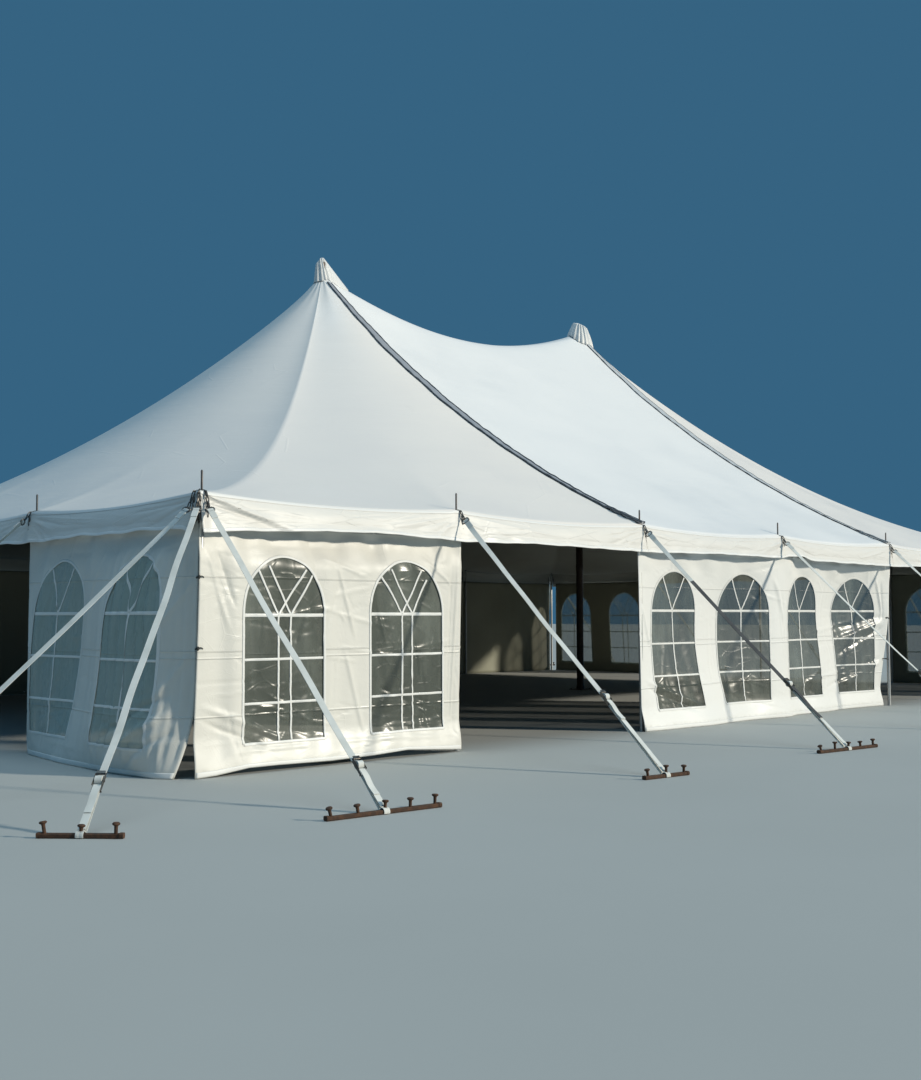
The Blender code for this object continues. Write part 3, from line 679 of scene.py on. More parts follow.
def valance_out(bays, down, drop, seed):
    """How far the valance stands out, from its bay counts and distances down."""
    arc = bay_arc(bays)
    share = down / drop
    total = 0.014 * arc ** 0.6 * np.sin(np.pi * np.clip(share * 1.4, 0, 1)) ** 0.8
    total = total + 0.006 * waves(bays * BAY, 11 + seed, 7, 0.15, 0.7) * share ** 2
    total = total + (VALANCE_FLARE + 0.02 * arc) * share
    for number in range(int(bays.min()), int(bays.max()) + 2):
        rng = np.random.default_rng(100 * seed + number)
        near = (np.abs(bays[0] - number) * BAY < 1.75).nonzero()[0]
        aside = (bays[:, near] - number) * BAY
        below = down[:, near]
        for side in (-1, 1):
            for order in range(PIN_CREASES):
                slope = math.radians(rng.uniform(1, 5) + order * rng.uniform(2, 8))
                length = rng.uniform(0.5, 1.6) / (1 + 0.25 * order)
                start = (side * rng.uniform(0.0, 0.08), 0.02 + rng.uniform(0, 0.05) + 0.012 * order)
                end = (start[0] + side * length * math.cos(slope), start[1] + length * math.sin(slope))
                total[:, near] += fold(aside, below, start, end, rng.uniform(0.007, 0.014),
                                       rng.uniform(0.003, 0.0075) * rng.choice((-1, 1)))
    first, last = bays.min() * BAY, bays.max() * BAY
    return total + loose_folds(bays * BAY, down, seed + 7, round(3 * (last - first)),
                               (first, last, 0.03, 0.30), (0.15, 0.7), (-12, 12), 0.010, 0.004)


def corner_fold(bays, down):
    """The long fold from the front left pin down to the hem, and the hollow under it."""
    aside = (bays - 6) * BAY
    line = aside * 0.325 / 1.15
    hollow = smooth((down - line) / 0.03) * smooth(aside / 0.12) * smooth((1.4 - aside) / 0.4)
    return -0.022 * hollow + fold(aside, down, (0.02, 0.0), (1.18, 0.33), 0.010, 0.012)


def spread_bays(first, last, fine):
    """Bay counts along a run of whole bays, closer together near the pins."""
    steps = FINE_BAY_STEPS if fine else PLAIN_BAY_STEPS
    part = np.linspace(0, 1, steps + 1)[1:]
    part = part - 0.55 * np.sin(2 * np.pi * part) / (2 * np.pi)
    return np.concatenate([[first]] + [bay + part for bay in range(first, last)])


def add_valance(name, node, edge, way, bays, mirror, finishes, seed):
    """A valance under an eave line, with a tape along its eave and a welded hem."""
    out = np.broadcast_to(np.array(way, float) * (mirror, 1, 1), edge.shape)
    down = np.linspace(0, 1, VALANCE_ROWS + 1)[:, None]
    depth = edge[:, 2] - hem_height(edge[:, 0], edge[:, 1], bays)
    counts = np.broadcast_to(bays, (len(down), len(bays)))
    far = valance_out(counts, down * depth, depth, seed)
    if mirror < 0:
        far = far + corner_fold(counts, down * depth)
    points = edge + (far * smooth(down / 0.05))[..., None] * out
    points[..., 2] = edge[:, 2] - down * depth
    cloth = add_piece(name + "_cloth", Shape(points[:, ::mirror]), finishes[:2],
                      [node], 0.002, -1, inner=1)
    tapes = Shape()
    for first, last in ((0, 3), (VALANCE_ROWS - 4, VALANCE_ROWS)):
        band = points[first:last + 1] + 0.003 * out
        band[0, :, 2] += 0.004 * (first == 0)
        tapes.add(band[:, ::mirror])
    tape = add_piece(name + "_tapes", tapes, finishes[2:], shell=0.0015, side=-1)


def make_valances():
    # The valance is the canopy's own cloth, painted darker than the canopy's as painted shade, because its
    # flare takes more light.
    warm = vinyl("valance_painted_shade_vinyl", (0.755, 0.74, 0.70), (0.70, 0.685, 0.64), (2.0, 2.0, 6.0), 0.006)
    crumple(warm, 6.0, 0.006, 0.002, (0.35, 0.35, 1.6), amount=0.8)
    # The valance's inner face takes painted shade: dark grey, for the shade inside the tent.
    inside = painted_shade_inner_face("valance_inside_painted_shade", (0.33, 0.33, 0.30))
    tape = vinyl("tape_vinyl", (0.82, 0.82, 0.80), (0.76, 0.76, 0.73), (2, 2, 2), 0.002)
    finishes = (warm, inside, tape)
    eave = np.ones((1, 1))
    for end, mirror in ENDS:
        for part, first, last, way in (("back", 0, 2, (0, 1, 0)), ("end", 2, 6, (1, 0, 0)),
                                       ("front", 6, 8, (0, -1, 0))):
            bays = spread_bays(first, last, part == "front" or (part == "end" and mirror < 0))
            add_valance(f"valance_{end}_{part}", f"canopy_{end}_end", end_roof(bays, eave, mirror)[0],
                        way, bays, mirror, finishes, 3 + 2 * first + (mirror > 0))
    for part, side in SLOPES:
        bays = spread_bays(0, 2, side < 0)
        add_valance("valance_middle_" + part, "canopy_middle", middle_roof(bays, eave, side)[0],
                    (0, side, 0), bays, side, finishes, 22 + side)


# Lacing flaps over the seams, with a rolled edge at each side

# Their width: (share of the way down from the peak, width)
FLAP_WIDTH = ((0.0, 0.05), (0.10, 0.11), (0.22, 0.165), (0.45, 0.165), (0.65, 0.14), (0.85, 0.11),
              (1.0, 0.085))
FLAP_ROLL = 0.009
# Share of the way down from which they are bunched
FLAP_BUNCH = 0.90


def make_flaps():
    grey = vinyl("flap_vinyl", (0.33, 0.345, 0.375), (0.27, 0.29, 0.315), (1, 1, 3), 0.006)
    # The rolled edges are near-black: partly the dark lacing, partly painted shadow of the gap under each
    # flap edge.
    dark = painted_metal("flap_edge_lacing_and_painted_shadow", (0.075, 0.083, 0.095), (0.14, 0.15, 0.16), 0.55, 0.0)
    pale = vinyl("flap_pale_vinyl", (0.56, 0.58, 0.59), (0.50, 0.52, 0.53), (1, 1, 3), 0.006)
    share = np.linspace(0.03, 1.0, 161)
    across = np.linspace(-1, 1, 9)
    bunch = smooth((share - FLAP_BUNCH) / 0.05)
    half = np.interp(share, *np.array(FLAP_WIDTH).T) / 2 * (1 - 0.30 * bunch)
    sway = 0.008 * waves(share * 6, 3, 4, 0.5, 1.6) + bunch * 0.012 * waves(share * 6, 9, 3, 0.08, 0.2)
    lift = 0.010 + 0.003 * waves(share * 6, 8, 6, 0.1, 0.4)[:, None]
    lift = lift + bunch[:, None] * 0.03 * np.cos(across * 2.5) ** 2
    for part, side in SLOPES:
        for end, mirror in ENDS:
            x = (mirror * PEAK_X + sway)[:, None] + across * half[:, None]
            y = np.broadcast_to((side * share * (EDGE_WIDE - 0.004))[:, None], x.shape)
            points = np.stack([x, y, roof_height(x, y) + lift], axis=-1)
            name = f"lacing_flap_{part}_{end}"
            flap = add_piece(name + "_cloth", Shape(points[:, ::-side]),
                             [grey if end == "left" else pale], [name], 0.003, 0)
            rolls = Shape()
            for edge in (0, -1):
                size = FLAP_ROLL * (1.2 if edge == 0 else 1.0) * (1 if end == "left" else 0.5)
                rolls.add_tube(points[:, edge] + (0, 0, size * 0.6),
                               size * (1 + 0.15 * waves(share * 6, 12 - edge, 6, 0.1, 0.4)))
            add_piece(name + "_rolls", rolls, [dark])


# Caps over the centre poles

CAP_RINGS = 24
TO_CAMERA_RIGHT = (0.714, -0.700)
# Cord round the left cap
CAP_TIE_R = 0.135
CAP_TIE_Z = 6.50


def add_cap(end, finish, x0, reach, top, lean, foot_lift):
    """Cloth gathered round a pole top. reach, top and lean give the ring at each share of the rise."""
    turns = np.linspace(0, 2 * np.pi, 145)
    rise = np.linspace(0, 1, CAP_RINGS)[:, None]
    radius = reach(turns, rise)
    x = x0 + radius * np.cos(turns) + lean(rise) * TO_CAMERA_RIGHT[0]
    y = radius * np.sin(turns) + lean(rise) * TO_CAMERA_RIGHT[1]
    foot = roof_height(x[0], y[0]) + foot_lift
    z = foot + (top(turns) - foot) * rise
    inward = np.linspace(1, 0.06, 9)[1:, None]
    middle = (x0 + lean(1.0) * TO_CAMERA_RIGHT[0], lean(1.0) * TO_CAMERA_RIGHT[1])
    crown = [middle[0] + (x[-1] - middle[0]) * inward, middle[1] + (y[-1] - middle[1]) * inward,
             z[-1] + 0.030 * (1 - inward ** 2) + (z[-1].mean() - z[-1]) * (1 - inward)]
    points = np.concatenate([np.stack([x, y, z], axis=-1), np.stack(crown, axis=-1)])
    name = "peak_cap_" + end
    cap = add_piece(name + "_cloth", Shape(points), [finish], [name], 0.003, -1)


def make_caps():
    finish = vinyl("cap_vinyl", (0.76, 0.76, 0.74), (0.62, 0.62, 0.60), (3, 3, 1), 0.01)
    crumple(finish, 9.0, 0.006, 0.003, (1, 1, 0.4), amount=0.7)
    right = math.atan2(TO_CAMERA_RIGHT[1], TO_CAMERA_RIGHT[0])

    def left_reach(turns, rise):
        """Narrow and tied at the foot, with a long tail down the ridge."""
        pleats = 0.012 * np.cos(11 * turns) + 0.009 * np.cos(7 * turns + 1)
        crease = -0.050 * np.exp(-((np.mod(turns - right - 4.15, 2 * np.pi) - np.pi) / 0.16) ** 2)
        tail = 0.36 * np.clip(np.cos(turns), 0, 1) ** 5
        return (0.125 + tail) * (1 - rise) + 0.060 * rise + (pleats + crease) * (1 - 0.4 * rise)

    def left_top(turns):
        return 6.86 + 0.055 * np.cos(turns - right) + 0.020 * np.cos(3 * turns)

    def right_reach(turns, rise):
        """A pleated dome."""
        pleats = 0.010 * np.cos(20 * turns) + 0.004 * np.cos(33 * turns)
        return 0.255 - 0.135 * rise ** 1.4 + pleats

    def right_top(turns):
        return 6.815 - 0.050 * np.cos(turns - right)

    add_cap("left", finish, -PEAK_X, left_reach, left_top, lambda rise: -0.035 * rise, 0.004)
    add_cap("right", finish, PEAK_X, right_reach, right_top, lambda rise: 0.025 + 0.015 * rise, 0.012)
    tie = Shape()
    across, aside = circle(60)
    tie.add_tube(np.stack([CAP_TIE_R * across - PEAK_X, CAP_TIE_R * aside,
                           CAP_TIE_Z + 0.02 * across * aside], axis=-1), 0.007, closed=True)
    rope = painted_metal("cap_tie_cord", (0.20, 0.20, 0.19), (0.12, 0.12, 0.11), 0.8, 0.0)
    add_piece("peak_cap_tie", tie, [rope])


# Poles and wall ropes

def pole_spots(side):
    """Places of a side's poles. The corner poles belong to the long sides."""
    half, steps = (HALF_LONG, range(7)) if side in LONG_SIDES else (HALF_WIDE, range(1, 4))
    return [on_side(side, BAY * step - half, 0, 0)[:2] for step in steps]


def on_side(side, along, out, z):
    """Points from a distance along a side and a distance out from its pole line."""
    sign = -1 if side in ("front", "left") else 1
    if side in LONG_SIDES:
        spots = (along, sign * (HALF_WIDE + out), z)
    else:
        spots = (sign * (HALF_LONG + out), along, z)
    return np.stack(np.broadcast_arrays(*spots), axis=-1)


def rope_height(side, along):
    """Height of the middle of the wall rope, which sags less where a wall hangs on it."""
    half = HALF_LONG if side in LONG_SIDES else HALF_WIDE
    bays = (along + half) / BAY
    closed = {"front": (0, 2, 3, 5), "back": range(6)}.get(side, (0, 3))
    number = np.clip(np.floor(bays), 0, round(2 * half / BAY) - 1)
    dip = np.where(np.isin(number, list(closed)), ROPE_SAG_CLOSED, ROPE_SAG_OPEN)
    return ROPE_Z - dip * bay_arc(bays)


def make_poles():
    alloy = painted_metal("pole_alloy", (0.50, 0.51, 0.50), (0.34, 0.34, 0.33), 0.42, 0.75)
    steel = painted_metal("pin_steel", (0.10, 0.10, 0.10), (0.20, 0.13, 0.09), 0.5, 0.7)
    rope = rope_finish()
    pole = [(0.030, 0.0), (0.030, 0.006), (POLE_R + 0.001, 0.010), (POLE_R, 0.05), (POLE_R, 1.2),
            (POLE_R, EAVE_Z - 0.05), (POLE_R - 0.001, EAVE_Z - 0.048),
            (POLE_R - 0.001, EAVE_Z - 0.008), (POLE_R - 0.004, EAVE_Z - 0.004)]
    pin = [(PIN_R, EAVE_Z - 0.02), (PIN_R, EAVE_Z + PIN_LENGTH - 0.012),
           (PIN_R * 0.7, EAVE_Z + PIN_LENGTH - 0.004), (0.002, EAVE_Z + PIN_LENGTH)]
    for side in ("front", "back", "left", "right"):
        shape = Shape()
        for x, y in pole_spots(side):
            shape.add_turned((x, y, 0), pole, 20)
            shape.add_turned((x, y, 0), pin, 12, finish=1)
        name = side + "_side_poles"
        add_piece(name + "_set", shape, [alloy, steel], [name])
        make_rope(side, rope)
    brown = painted_metal("brown_paint", (0.045, 0.030, 0.022), (0.10, 0.06, 0.04), 0.5, 0.2)
    radius = CENTRE_POLE_R
    centre_pole = [(radius + 0.012, BASE_PLATE_T), (radius + 0.012, 0.06), (radius, 0.075),
                   (radius, 2.2), (radius + 0.004, 2.21), (radius + 0.004, 2.31), (radius, 2.32),
                   (radius, CENTRE_POLE_TOP - 0.05), (radius - 0.01, CENTRE_POLE_TOP - 0.01),
                   (0.01, CENTRE_POLE_TOP)]
    for end, mirror in ENDS:
        x = mirror * PEAK_X
        shape = Shape()
        shape.add_box((x, 0, BASE_PLATE_T / 2), (BASE_PLATE, BASE_PLATE, BASE_PLATE_T), np.eye(3), 0.003)
        shape.add_turned((x, 0, 0), centre_pole, 32)
        for angle in np.pi * np.array((0.25, 0.75, 1.25, 1.75)):
            spot = (x + BOLT_CIRCLE_R * math.cos(angle), BOLT_CIRCLE_R * math.sin(angle), 0)
            shape.add_turned(spot, [(0.014, 0.011), (0.014, 0.022), (0.010, 0.026)], 6)
        name = "centre_pole_" + end
        add_piece(name + "_tube", shape, [brown], [name])


def make_rope(side, finish):
    """The rope that the walls hang on, with a wrap round each pole."""
    half = HALF_LONG if side in LONG_SIDES else HALF_WIDE - 0.03
    along = np.linspace(-half, half, round(half * 2 / 0.1) + 1)
    shape = Shape()
    out = np.full(len(along), ROPE_OFFSET)
    for _, wall_side, span, _, wall_shape, *_ in WALLS:
        inside = (along > span[0]) & (along < span[1]) & (side == wall_side)
        out[inside] += wall_shape(along[inside], np.full(inside.sum(), ROPE_Z))[1]
    shape.add_tube(on_side(side, along, out, rope_height(side, along)), ROPE_R)
    angles = np.linspace(0, 4 * np.pi, 33)
    radius = POLE_R + 0.004
    wrap = np.stack([radius * np.cos(angles), radius * np.sin(angles),
                     ROPE_Z - 0.010 + 0.020 * np.linspace(-0.5, 0.5, 33)], axis=-1)
    for x, y in pole_spots(side):
        shape.add_tube(wrap + (x, y, 0), 0.0045, 6)
    add_piece(side + "_wall_rope", shape, [finish])


# Walls

OVER_ROPE = 0.011
PANE_LAP = 0.03
# Widths of the tapes welded to a wall, and how far they stand on it
HEM_BAND = 0.045
WELT = 0.026
TAPE_LIFT = 0.003
BAR_LIFT = 0.0035
# Section of a ribbon: (share of its width, rise)
RIBBON = ((-0.5, 0.0), (-0.3, 0.0015), (0.3, 0.0015), (0.5, 0.0))


def arch(centre, half, bottom, top, step=0.03, grow=0.0):
    """Outline of a window with a half-elliptic head, anticlockwise from its lower left corner."""
    spring, bottom, half = top - WINDOW_RISE, bottom - grow, half + grow
    level = np.linspace(-half, half, round(2 * half / step) + 1)
    upright = np.linspace(bottom, spring, round((spring - bottom) / step) + 1)
    turns = np.linspace(0, np.pi, round(1.5 / step) + 1)[1:]
    points = [(a, bottom) for a in level] + [(half, z) for z in upright[1:]]
    points += [(half * math.cos(turn), spring + (WINDOW_RISE + grow) * math.sin(turn)) for turn in turns]
    points += [(-half, z) for z in upright[::-1][1:-1]]
    return [(centre + a, z) for a, z in points]


def in_arch(a, z, centre, half, bottom, top, grow=0.0):
    """True inside a window, grown all round by a margin."""
    spring = top - WINDOW_RISE
    upright = (np.abs(a - centre) < half + grow) & (z > bottom - grow) & (z <= spring)
    head = ((a - centre) / (half + grow)) ** 2 + ((z - spring) / (WINDOW_RISE + grow)) ** 2 < 1
    return upright | (head & (z > spring))


def cut_sheet(outline, windows, step):
    """Flat triangles inside an outline, with the windows left out."""
    outline = np.array(outline)
    low, high = outline.min(axis=0), outline.max(axis=0)
    columns = round((high[0] - low[0]) / step)
    rows = round((high[1] - low[1]) / step)
    a, z = np.meshgrid(np.linspace(low[0], high[0], columns + 1), np.linspace(low[1], high[1], rows + 1))
    a, z = a.ravel(), z.ravel()
    top_edge = np.interp(a, *outline[outline[:, 1] > high[1] - 0.12][::-1].T)
    keep = (a > low[0] + step / 3) & (a < high[0] - step / 3)
    keep &= (z > low[1] + step / 3) & (z < top_edge - step / 2)
    for window in windows:
        keep &= ~in_arch(a, z, *window, grow=step * 0.45)
    points = []
    edges = []
    for loop in [outline.tolist()] + [arch(*window, step=step) for window in windows]:
        first = len(points)
        points += [Vector(point) for point in loop]
        edges += [(first + k, first + (k + 1) % len(loop)) for k in range(len(loop))]
    points += [Vector(point) for point in zip(a[keep], z[keep])]
    flat, _, faces, *_ = delaunay_2d_cdt(points, edges, [], 1, 1e-5)
    flat = np.array([tuple(point) for point in flat])
    faces = np.array([face for face in faces if len(face) == 3])
    centres = flat[faces].mean(axis=1)
    inside = np.zeros(len(faces), bool)
    for window in windows:
        inside |= in_arch(centres[:, 0], centres[:, 1], *window)
    return flat, faces[~inside]


def panel_outline(side, start, end, step, seed):
    """Edge of a flat wall panel over its rope, with uneven scallops between the hooks."""
    across = np.linspace(start, end, round((end - start) / step) + 1)
    scallop = 0.010 * np.abs(np.sin(np.pi * (across - start) / 0.40 + 0.3 * waves(across, seed, 3, 0.5, 1.5)))
    top = rope_height(side, across) + WALL_TOP_RISE - scallop
    count = round(ROPE_Z / step)
    points = [(a, 0.0) for a in across]
    points += [(end, z) for z in np.linspace(0, top[-1], count + 1)[1:-1]]
    points += list(zip(across[::-1], top[::-1]))
    points += [(start, z) for z in np.linspace(top[0], 0, count + 1)[1:-1]]
    return points


def wall_place(side, shape):
    """Puts flat wall coordinates in the tent. shape(a, z) gives the slip along, the way out and
    how far the cloth is lifted."""
    def place(a, z, raised=0.0):
        slip, out, lift = shape(a, z)
        over = OVER_ROPE * np.exp(-((z - rope_height(side, a)) / 0.02) ** 2)
        return on_side(side, a + slip, WALL_OFFSET + out + over + raised, z + lift)
    return place


def ribbon(shape, place, path, width, lift, step):
    """A flat band that follows a path of flat wall coordinates, lying on the wall's surface."""
    line = spaced(path, step)
    ahead = unit(np.gradient(line, axis=0))
    aside = np.stack([-ahead[:, 1], ahead[:, 0]], axis=-1)
    shape.add(np.array([place(*(line + aside * width * share).T, lift + rise)
                        for share, rise in RIBBON]))


# Bars of a window, from its centre line: heights of the level ones, places of the uprights,
# and the slanting ones of its head as (foot, head, height)
FORKED_HEAD = ((0.0, -0.22, 1.83), (0.0, 0.22, 1.83))
BARS = {
    "crossed": ((1.370, 0.980, 0.594), (-0.075, 0.070),
                ((-0.075, -0.296, 1.782), (0.070, -0.175, 1.814), (-0.075, 0.236, 1.784),
                 (0.070, 0.309, 1.733))),
    "crossed_right": ((1.380, 0.988, 0.596), (-0.072, 0.065),
                      ((-0.072, -0.358, 1.771), (0.065, -0.220, 1.815), (-0.072, 0.198, 1.808),
                       (0.065, 0.261, 1.719))),
    "plain": ((1.42, 1.02, 0.63), (0.0,), FORKED_HEAD),
    "low": ((1.39, 0.98, 0.566), (0.0,), FORKED_HEAD),
}


def window_bars(centre, half, bottom, style):
    heights, uprights, slants = BARS[style]
    top = heights[0]
    bars = [([(centre - half, z), (centre + half, z)], 0.031 if z == top else 0.023) for z in heights]
    bars += [([(centre + a, bottom), (centre + a, top)], 0.022) for a in uprights]
    return bars + [([(centre + foot, top), (centre + head, z)], 0.021) for foot, head, z in slants]


def make_wall(base, side, span, windows, shape, step, seed, pane_folds, finishes):
    """A wall panel with its windows, their bars and welts, and its hem."""
    outer, inner, pane_finish, trim_finish = finishes
    name = base + "_wall"
    place = wall_place(side, shape)
    holes = [window[:4] for window in windows]
    flat, faces = cut_sheet(panel_outline(side, *span, step, seed), holes, step)
    turned = -1 if side in ("back", "left") else 1
    cloth = add_piece(name + "_cloth", Shape(place(*flat.T), faces[:, ::turned]), [outer, inner],
                      [name], WALL_T, 0, inner=1)
    trims = Shape()
    coarse = 1.2 * step
    fine = 0.85 * step if step < 0.02 else step
    hem = [(span[0] + 0.01, 0.028), (span[1] - 0.01, 0.028)]
    ribbon(trims, place, hem, HEM_BAND, TAPE_LIFT, coarse)
    height = round(ROPE_Z + WALL_TOP_RISE, 3)
    area = (span[1] - span[0]) * height
    for number, (centre, half, bottom, top, style) in enumerate(windows, 1):
        welt = arch(centre, half, bottom, top, grow=0.010)
        ribbon(trims, place, welt + welt[:1], WELT, TAPE_LIFT, coarse)

        def place_pane(a, z, raised=0.0):
            edge = smooth((half - np.abs(a - centre)) / 0.07)
            edge = edge * smooth((top - z) / 0.1) * smooth((z - bottom) / 0.06)
            return place(a, z, raised - 0.005 + edge * pane_folds(a - centre, z, seed * 10 + number))

        flat, faces = cut_sheet(arch(centre, half, bottom, top, fine, PANE_LAP), (), fine)
        pane = add_piece(f"{base}_window_{number}", Shape(place_pane(*flat.T), faces[:, ::turned]),
                         [pane_finish], [base + "_windows"], sharp=0)
        for path, band in window_bars(centre, half, bottom, style):
            ribbon(trims, place_pane, path, band, BAR_LIFT, coarse)
        area -= 2 * half * (top - WINDOW_RISE - bottom) + math.pi / 2 * half * WINDOW_RISE
    trim = add_piece(name + "_trim", trims, [trim_finish], shell=0.0015, side=1)


# Wall shapes

FIELD_COLUMNS = 240
FIELD_ROWS = 100


def field(spots, heights, rows):
    """A smooth surface through measured values: a row for each height, a value for each spot."""
    fine_a = np.linspace(spots[0], spots[-1], FIELD_COLUMNS + 1)
    fine_z = np.linspace(heights[0], heights[-1], FIELD_ROWS + 1)
    table = np.array([np.interp(fine_a, spots, row) for row in rows])
    table = np.array([np.interp(fine_z, heights, column) for column in table.T]).T
    soft = np.exp(-0.5 * (np.arange(-12, 13) / 4.5) ** 2)
    for axis in (0, 1):
        table = np.apply_along_axis(
            lambda line: np.convolve(np.pad(line, 12, "reflect", reflect_type="odd"),
                                     soft / soft.sum(), "valid"), axis, table)

    def at(a, z):
        column = np.clip((a - spots[0]) / (spots[-1] - spots[0]), 0, 0.99999) * FIELD_COLUMNS
        row = np.clip((z - heights[0]) / (heights[-1] - heights[0]), 0, 0.99999) * FIELD_ROWS
        c, r = column.astype(int), row.astype(int)
        u, v = column - c, row - r
        return ((table[r, c] * (1 - u) + table[r, c + 1] * u) * (1 - v)
                + (table[r + 1, c] * (1 - u) + table[r + 1, c + 1] * u) * v)
    return at


def wrinkles(a, z, seed, span, level, upright, height=0.006):
    """Random sharp folds: long level ones, upright ones and short ones any way."""
    kinds = ((level, (0.3, 1.3), (-14, 14), 0.013, height), (upright, (0.3, 1.0), (62, 118), 0.016, height),
             (level + upright, (0.1, 0.4), (-60, 60), 0.010, 0.7 * height))
    out = sum(loose_folds(a, z, seed + order, kind[0], (*span, 0.05, 2.0), *kind[1:])
              for order, kind in enumerate(kinds))
    out = out + 0.008 * waves(a, seed + 3, 6, 0.25, 1.1) * smooth(z / 0.2)
    out = out + 0.012 * waves(a, seed + 4, 4, 0.35, 0.8) * smooth((z - 1.85) / 0.15)
    return out * smooth(z / 0.03) * smooth((ROPE_Z - z) / 0.12)


def low_share(z):
    """0 at the wall rope and 1 on the ground."""
    return 1 - np.clip(z / ROPE_Z, 0, 1)


def belly(a, z, depth, span):
    part = np.clip((a - span[0]) / (span[1] - span[0]), 0, 1)
    return depth * np.sin(np.pi * part) ** 0.7 * low_share(z) ** 1.2


def plain_shape(span, depth, seed):
    def shape(a, z):
        out = belly(a, z, depth, span) + wrinkles(a, z, seed, span, 14, 10)
        return 0 * a, out, 0 * a
    return shape


def back_shape(a, z):
    out = -0.05 * np.sin(np.pi * a / BAY) ** 4 * np.sin(np.pi * np.clip(z / ROPE_Z, 0, 1)) ** 2
    return 0 * a, out + wrinkles(a, z, 61, (-9.1, 9.1), 50, 40, 0.010), 0 * a


FRONT_LEFT = (-9.168, -6.026)
TOP_IN = 0.10
HEM_FLARE = 0.06
# How far the hem of the front left wall is off the ground: (distance along, height)
FRONT_LEFT_HEM = ((-9.24, 0.0), (-9.04, 0.01), (-8.7, 0.05), (-8.4, 0.05), (-7.8, 0.04),
                  (-7.3, 0.05), (-6.85, 0.07), (-6.13, 0.02))


def front_left_shape(a, z):
    start, end = FRONT_LEFT
    low = low_share(z)
    slip = -(0.016 + 0.060 * low ** 2) * smooth((start + 0.5 - a) / 0.5)
    slip = slip - (0.035 + 0.060 * low) * smooth((a - end + 0.3) / 0.3)
    arc = np.sin(np.pi * np.clip((a - start) / (end - start), 0, 1))
    out = 0.012 * arc * low - TOP_IN * arc ** 0.7 * smooth((z - 1.78) / 0.30)
    out = out + wrinkles(a, z, 22, FRONT_LEFT, 34, 18)
    out = out + ridges(a, z, FRONT_LEFT_PULLS)
    lift = np.interp(a + slip, *np.array(FRONT_LEFT_HEM).T) * np.exp(-z / 0.15)
    return slip, out + HEM_FLARE * smooth((0.36 - z) / 0.36), lift


# Longer folds of the front left wall: start, end, width, height
FRONT_LEFT_PULLS = (((-9.16, 0.62), (-8.2, 0.22), 0.030, 0.014), ((-9.15, 0.50), (-8.4, 0.14), 0.022, -0.012),
                    ((-9.1, 1.98), (-8.85, 1.2), 0.020, 0.010), ((-9.0, 1.99), (-8.8, 1.4), 0.016, -0.010),
                    ((-6.06, 2.0), (-6.20, 0.1), 0.012, 0.008), ((-6.16, 2.0), (-6.28, 0.3), 0.010, -0.007),
                    ((-7.7, 1.95), (-7.45, 1.1), 0.018, 0.010), ((-7.6, 1.1), (-7.35, 0.2), 0.020, 0.010),
                    ((-7.85, 0.20), (-6.3, 0.16), 0.014, 0.008), ((-8.9, 0.17), (-7.9, 0.19), 0.014, 0.008),
                    ((-6.6, 1.95), (-6.15, 1.65), 0.015, 0.008), ((-7.9, 1.93), (-7.3, 1.72), 0.013, 0.007))

FRONT_MIDDLE = (-3.118, 3.118)
# How far the front middle wall is pushed in, at the edges, bars and uprights of its windows
PUSHED_IN = field(
    (-3.118, -2.746, -2.286, -1.826, -1.222, -0.762, -0.302, -0.16, 0.14, 0.302, 0.762, 1.222,
     1.826, 2.286, 2.746, 3.118),
    (0.0, 0.29, 0.64, 1.03, 1.41, 1.85, 2.07),
    ((0, -0.03, -0.03, -0.06, 0.04, 0.06, 0, -0.02, -0.02, 0.09, 0.10, 0.09, 0.18, 0.16, 0.13, 0.12),
     (0, 0.0, 0.0, -0.042, 0.10, 0.092, 0.004, -0.02, -0.02, 0.107, 0.115, 0.103, 0.206, 0.163, 0.117, 0.12),
     (0, 0.076, 0.074, 0.051, 0.21, 0.119, 0, -0.02, -0.02, 0.123, 0.133, 0.118, 0.24, 0.161, 0.099, 0.08),
     (0, 0.11, 0.134, 0.117, 0.232, 0.143, 0.005, -0.02, -0.02, 0.13, 0.16, 0.167, 0.277, 0.185, 0.101, 0.03),
     (0, 0.096, 0.146, 0.105, 0.225, 0.135, 0.016, -0.02, -0.02, 0.132, 0.18, 0.196, 0.317, 0.235, 0.098, 0),
     (0, 0.08, 0.115, 0.09, 0.13, 0.108, 0.03, -0.035, -0.035, 0.09, 0.141, 0.14, 0.22, 0.198, 0.08, 0),
     (0, 0.05, 0.08, 0.05, 0.07, 0.07, 0.02, -0.035, -0.035, 0.05, 0.09, 0.08, 0.12, 0.12, 0.04, 0)))


# Pull wrinkles of the front middle wall: start, end, width, height
MIDDLE_PULLS = (((3.15, 1.32), (1.75, 0.95), 0.030, 0.026), ((3.15, 1.38), (1.70, 1.14), 0.024, -0.022),
                ((3.15, 1.26), (1.80, 0.76), 0.022, -0.020), ((3.15, 1.34), (0.6, 1.06), 0.018, 0.014),
                ((3.10, 0.70), (1.80, 0.34), 0.030, 0.024), ((3.10, 0.66), (1.20, 0.28), 0.022, -0.018),
                ((3.05, 0.74), (1.9, 0.52), 0.022, -0.016), ((3.05, 0.68), (0.5, 0.40), 0.016, 0.012),
                ((1.3, 0.62), (0.5, 0.28), 0.020, 0.014), ((-3.05, 0.62), (-1.8, 0.22), 0.024, 0.020),
                ((-3.0, 0.52), (-1.95, 0.18), 0.020, -0.020), ((-3.08, 1.55), (-2.75, 0.9), 0.03, 0.02),
                ((2.75, 1.95), (2.95, 1.35), 0.022, 0.020), ((2.9, 1.9), (3.0, 1.2), 0.022, -0.020),
                ((-0.2, 1.9), (0.1, 1.2), 0.04, 0.018), ((0.0, 1.7), (0.25, 0.9), 0.04, -0.014))


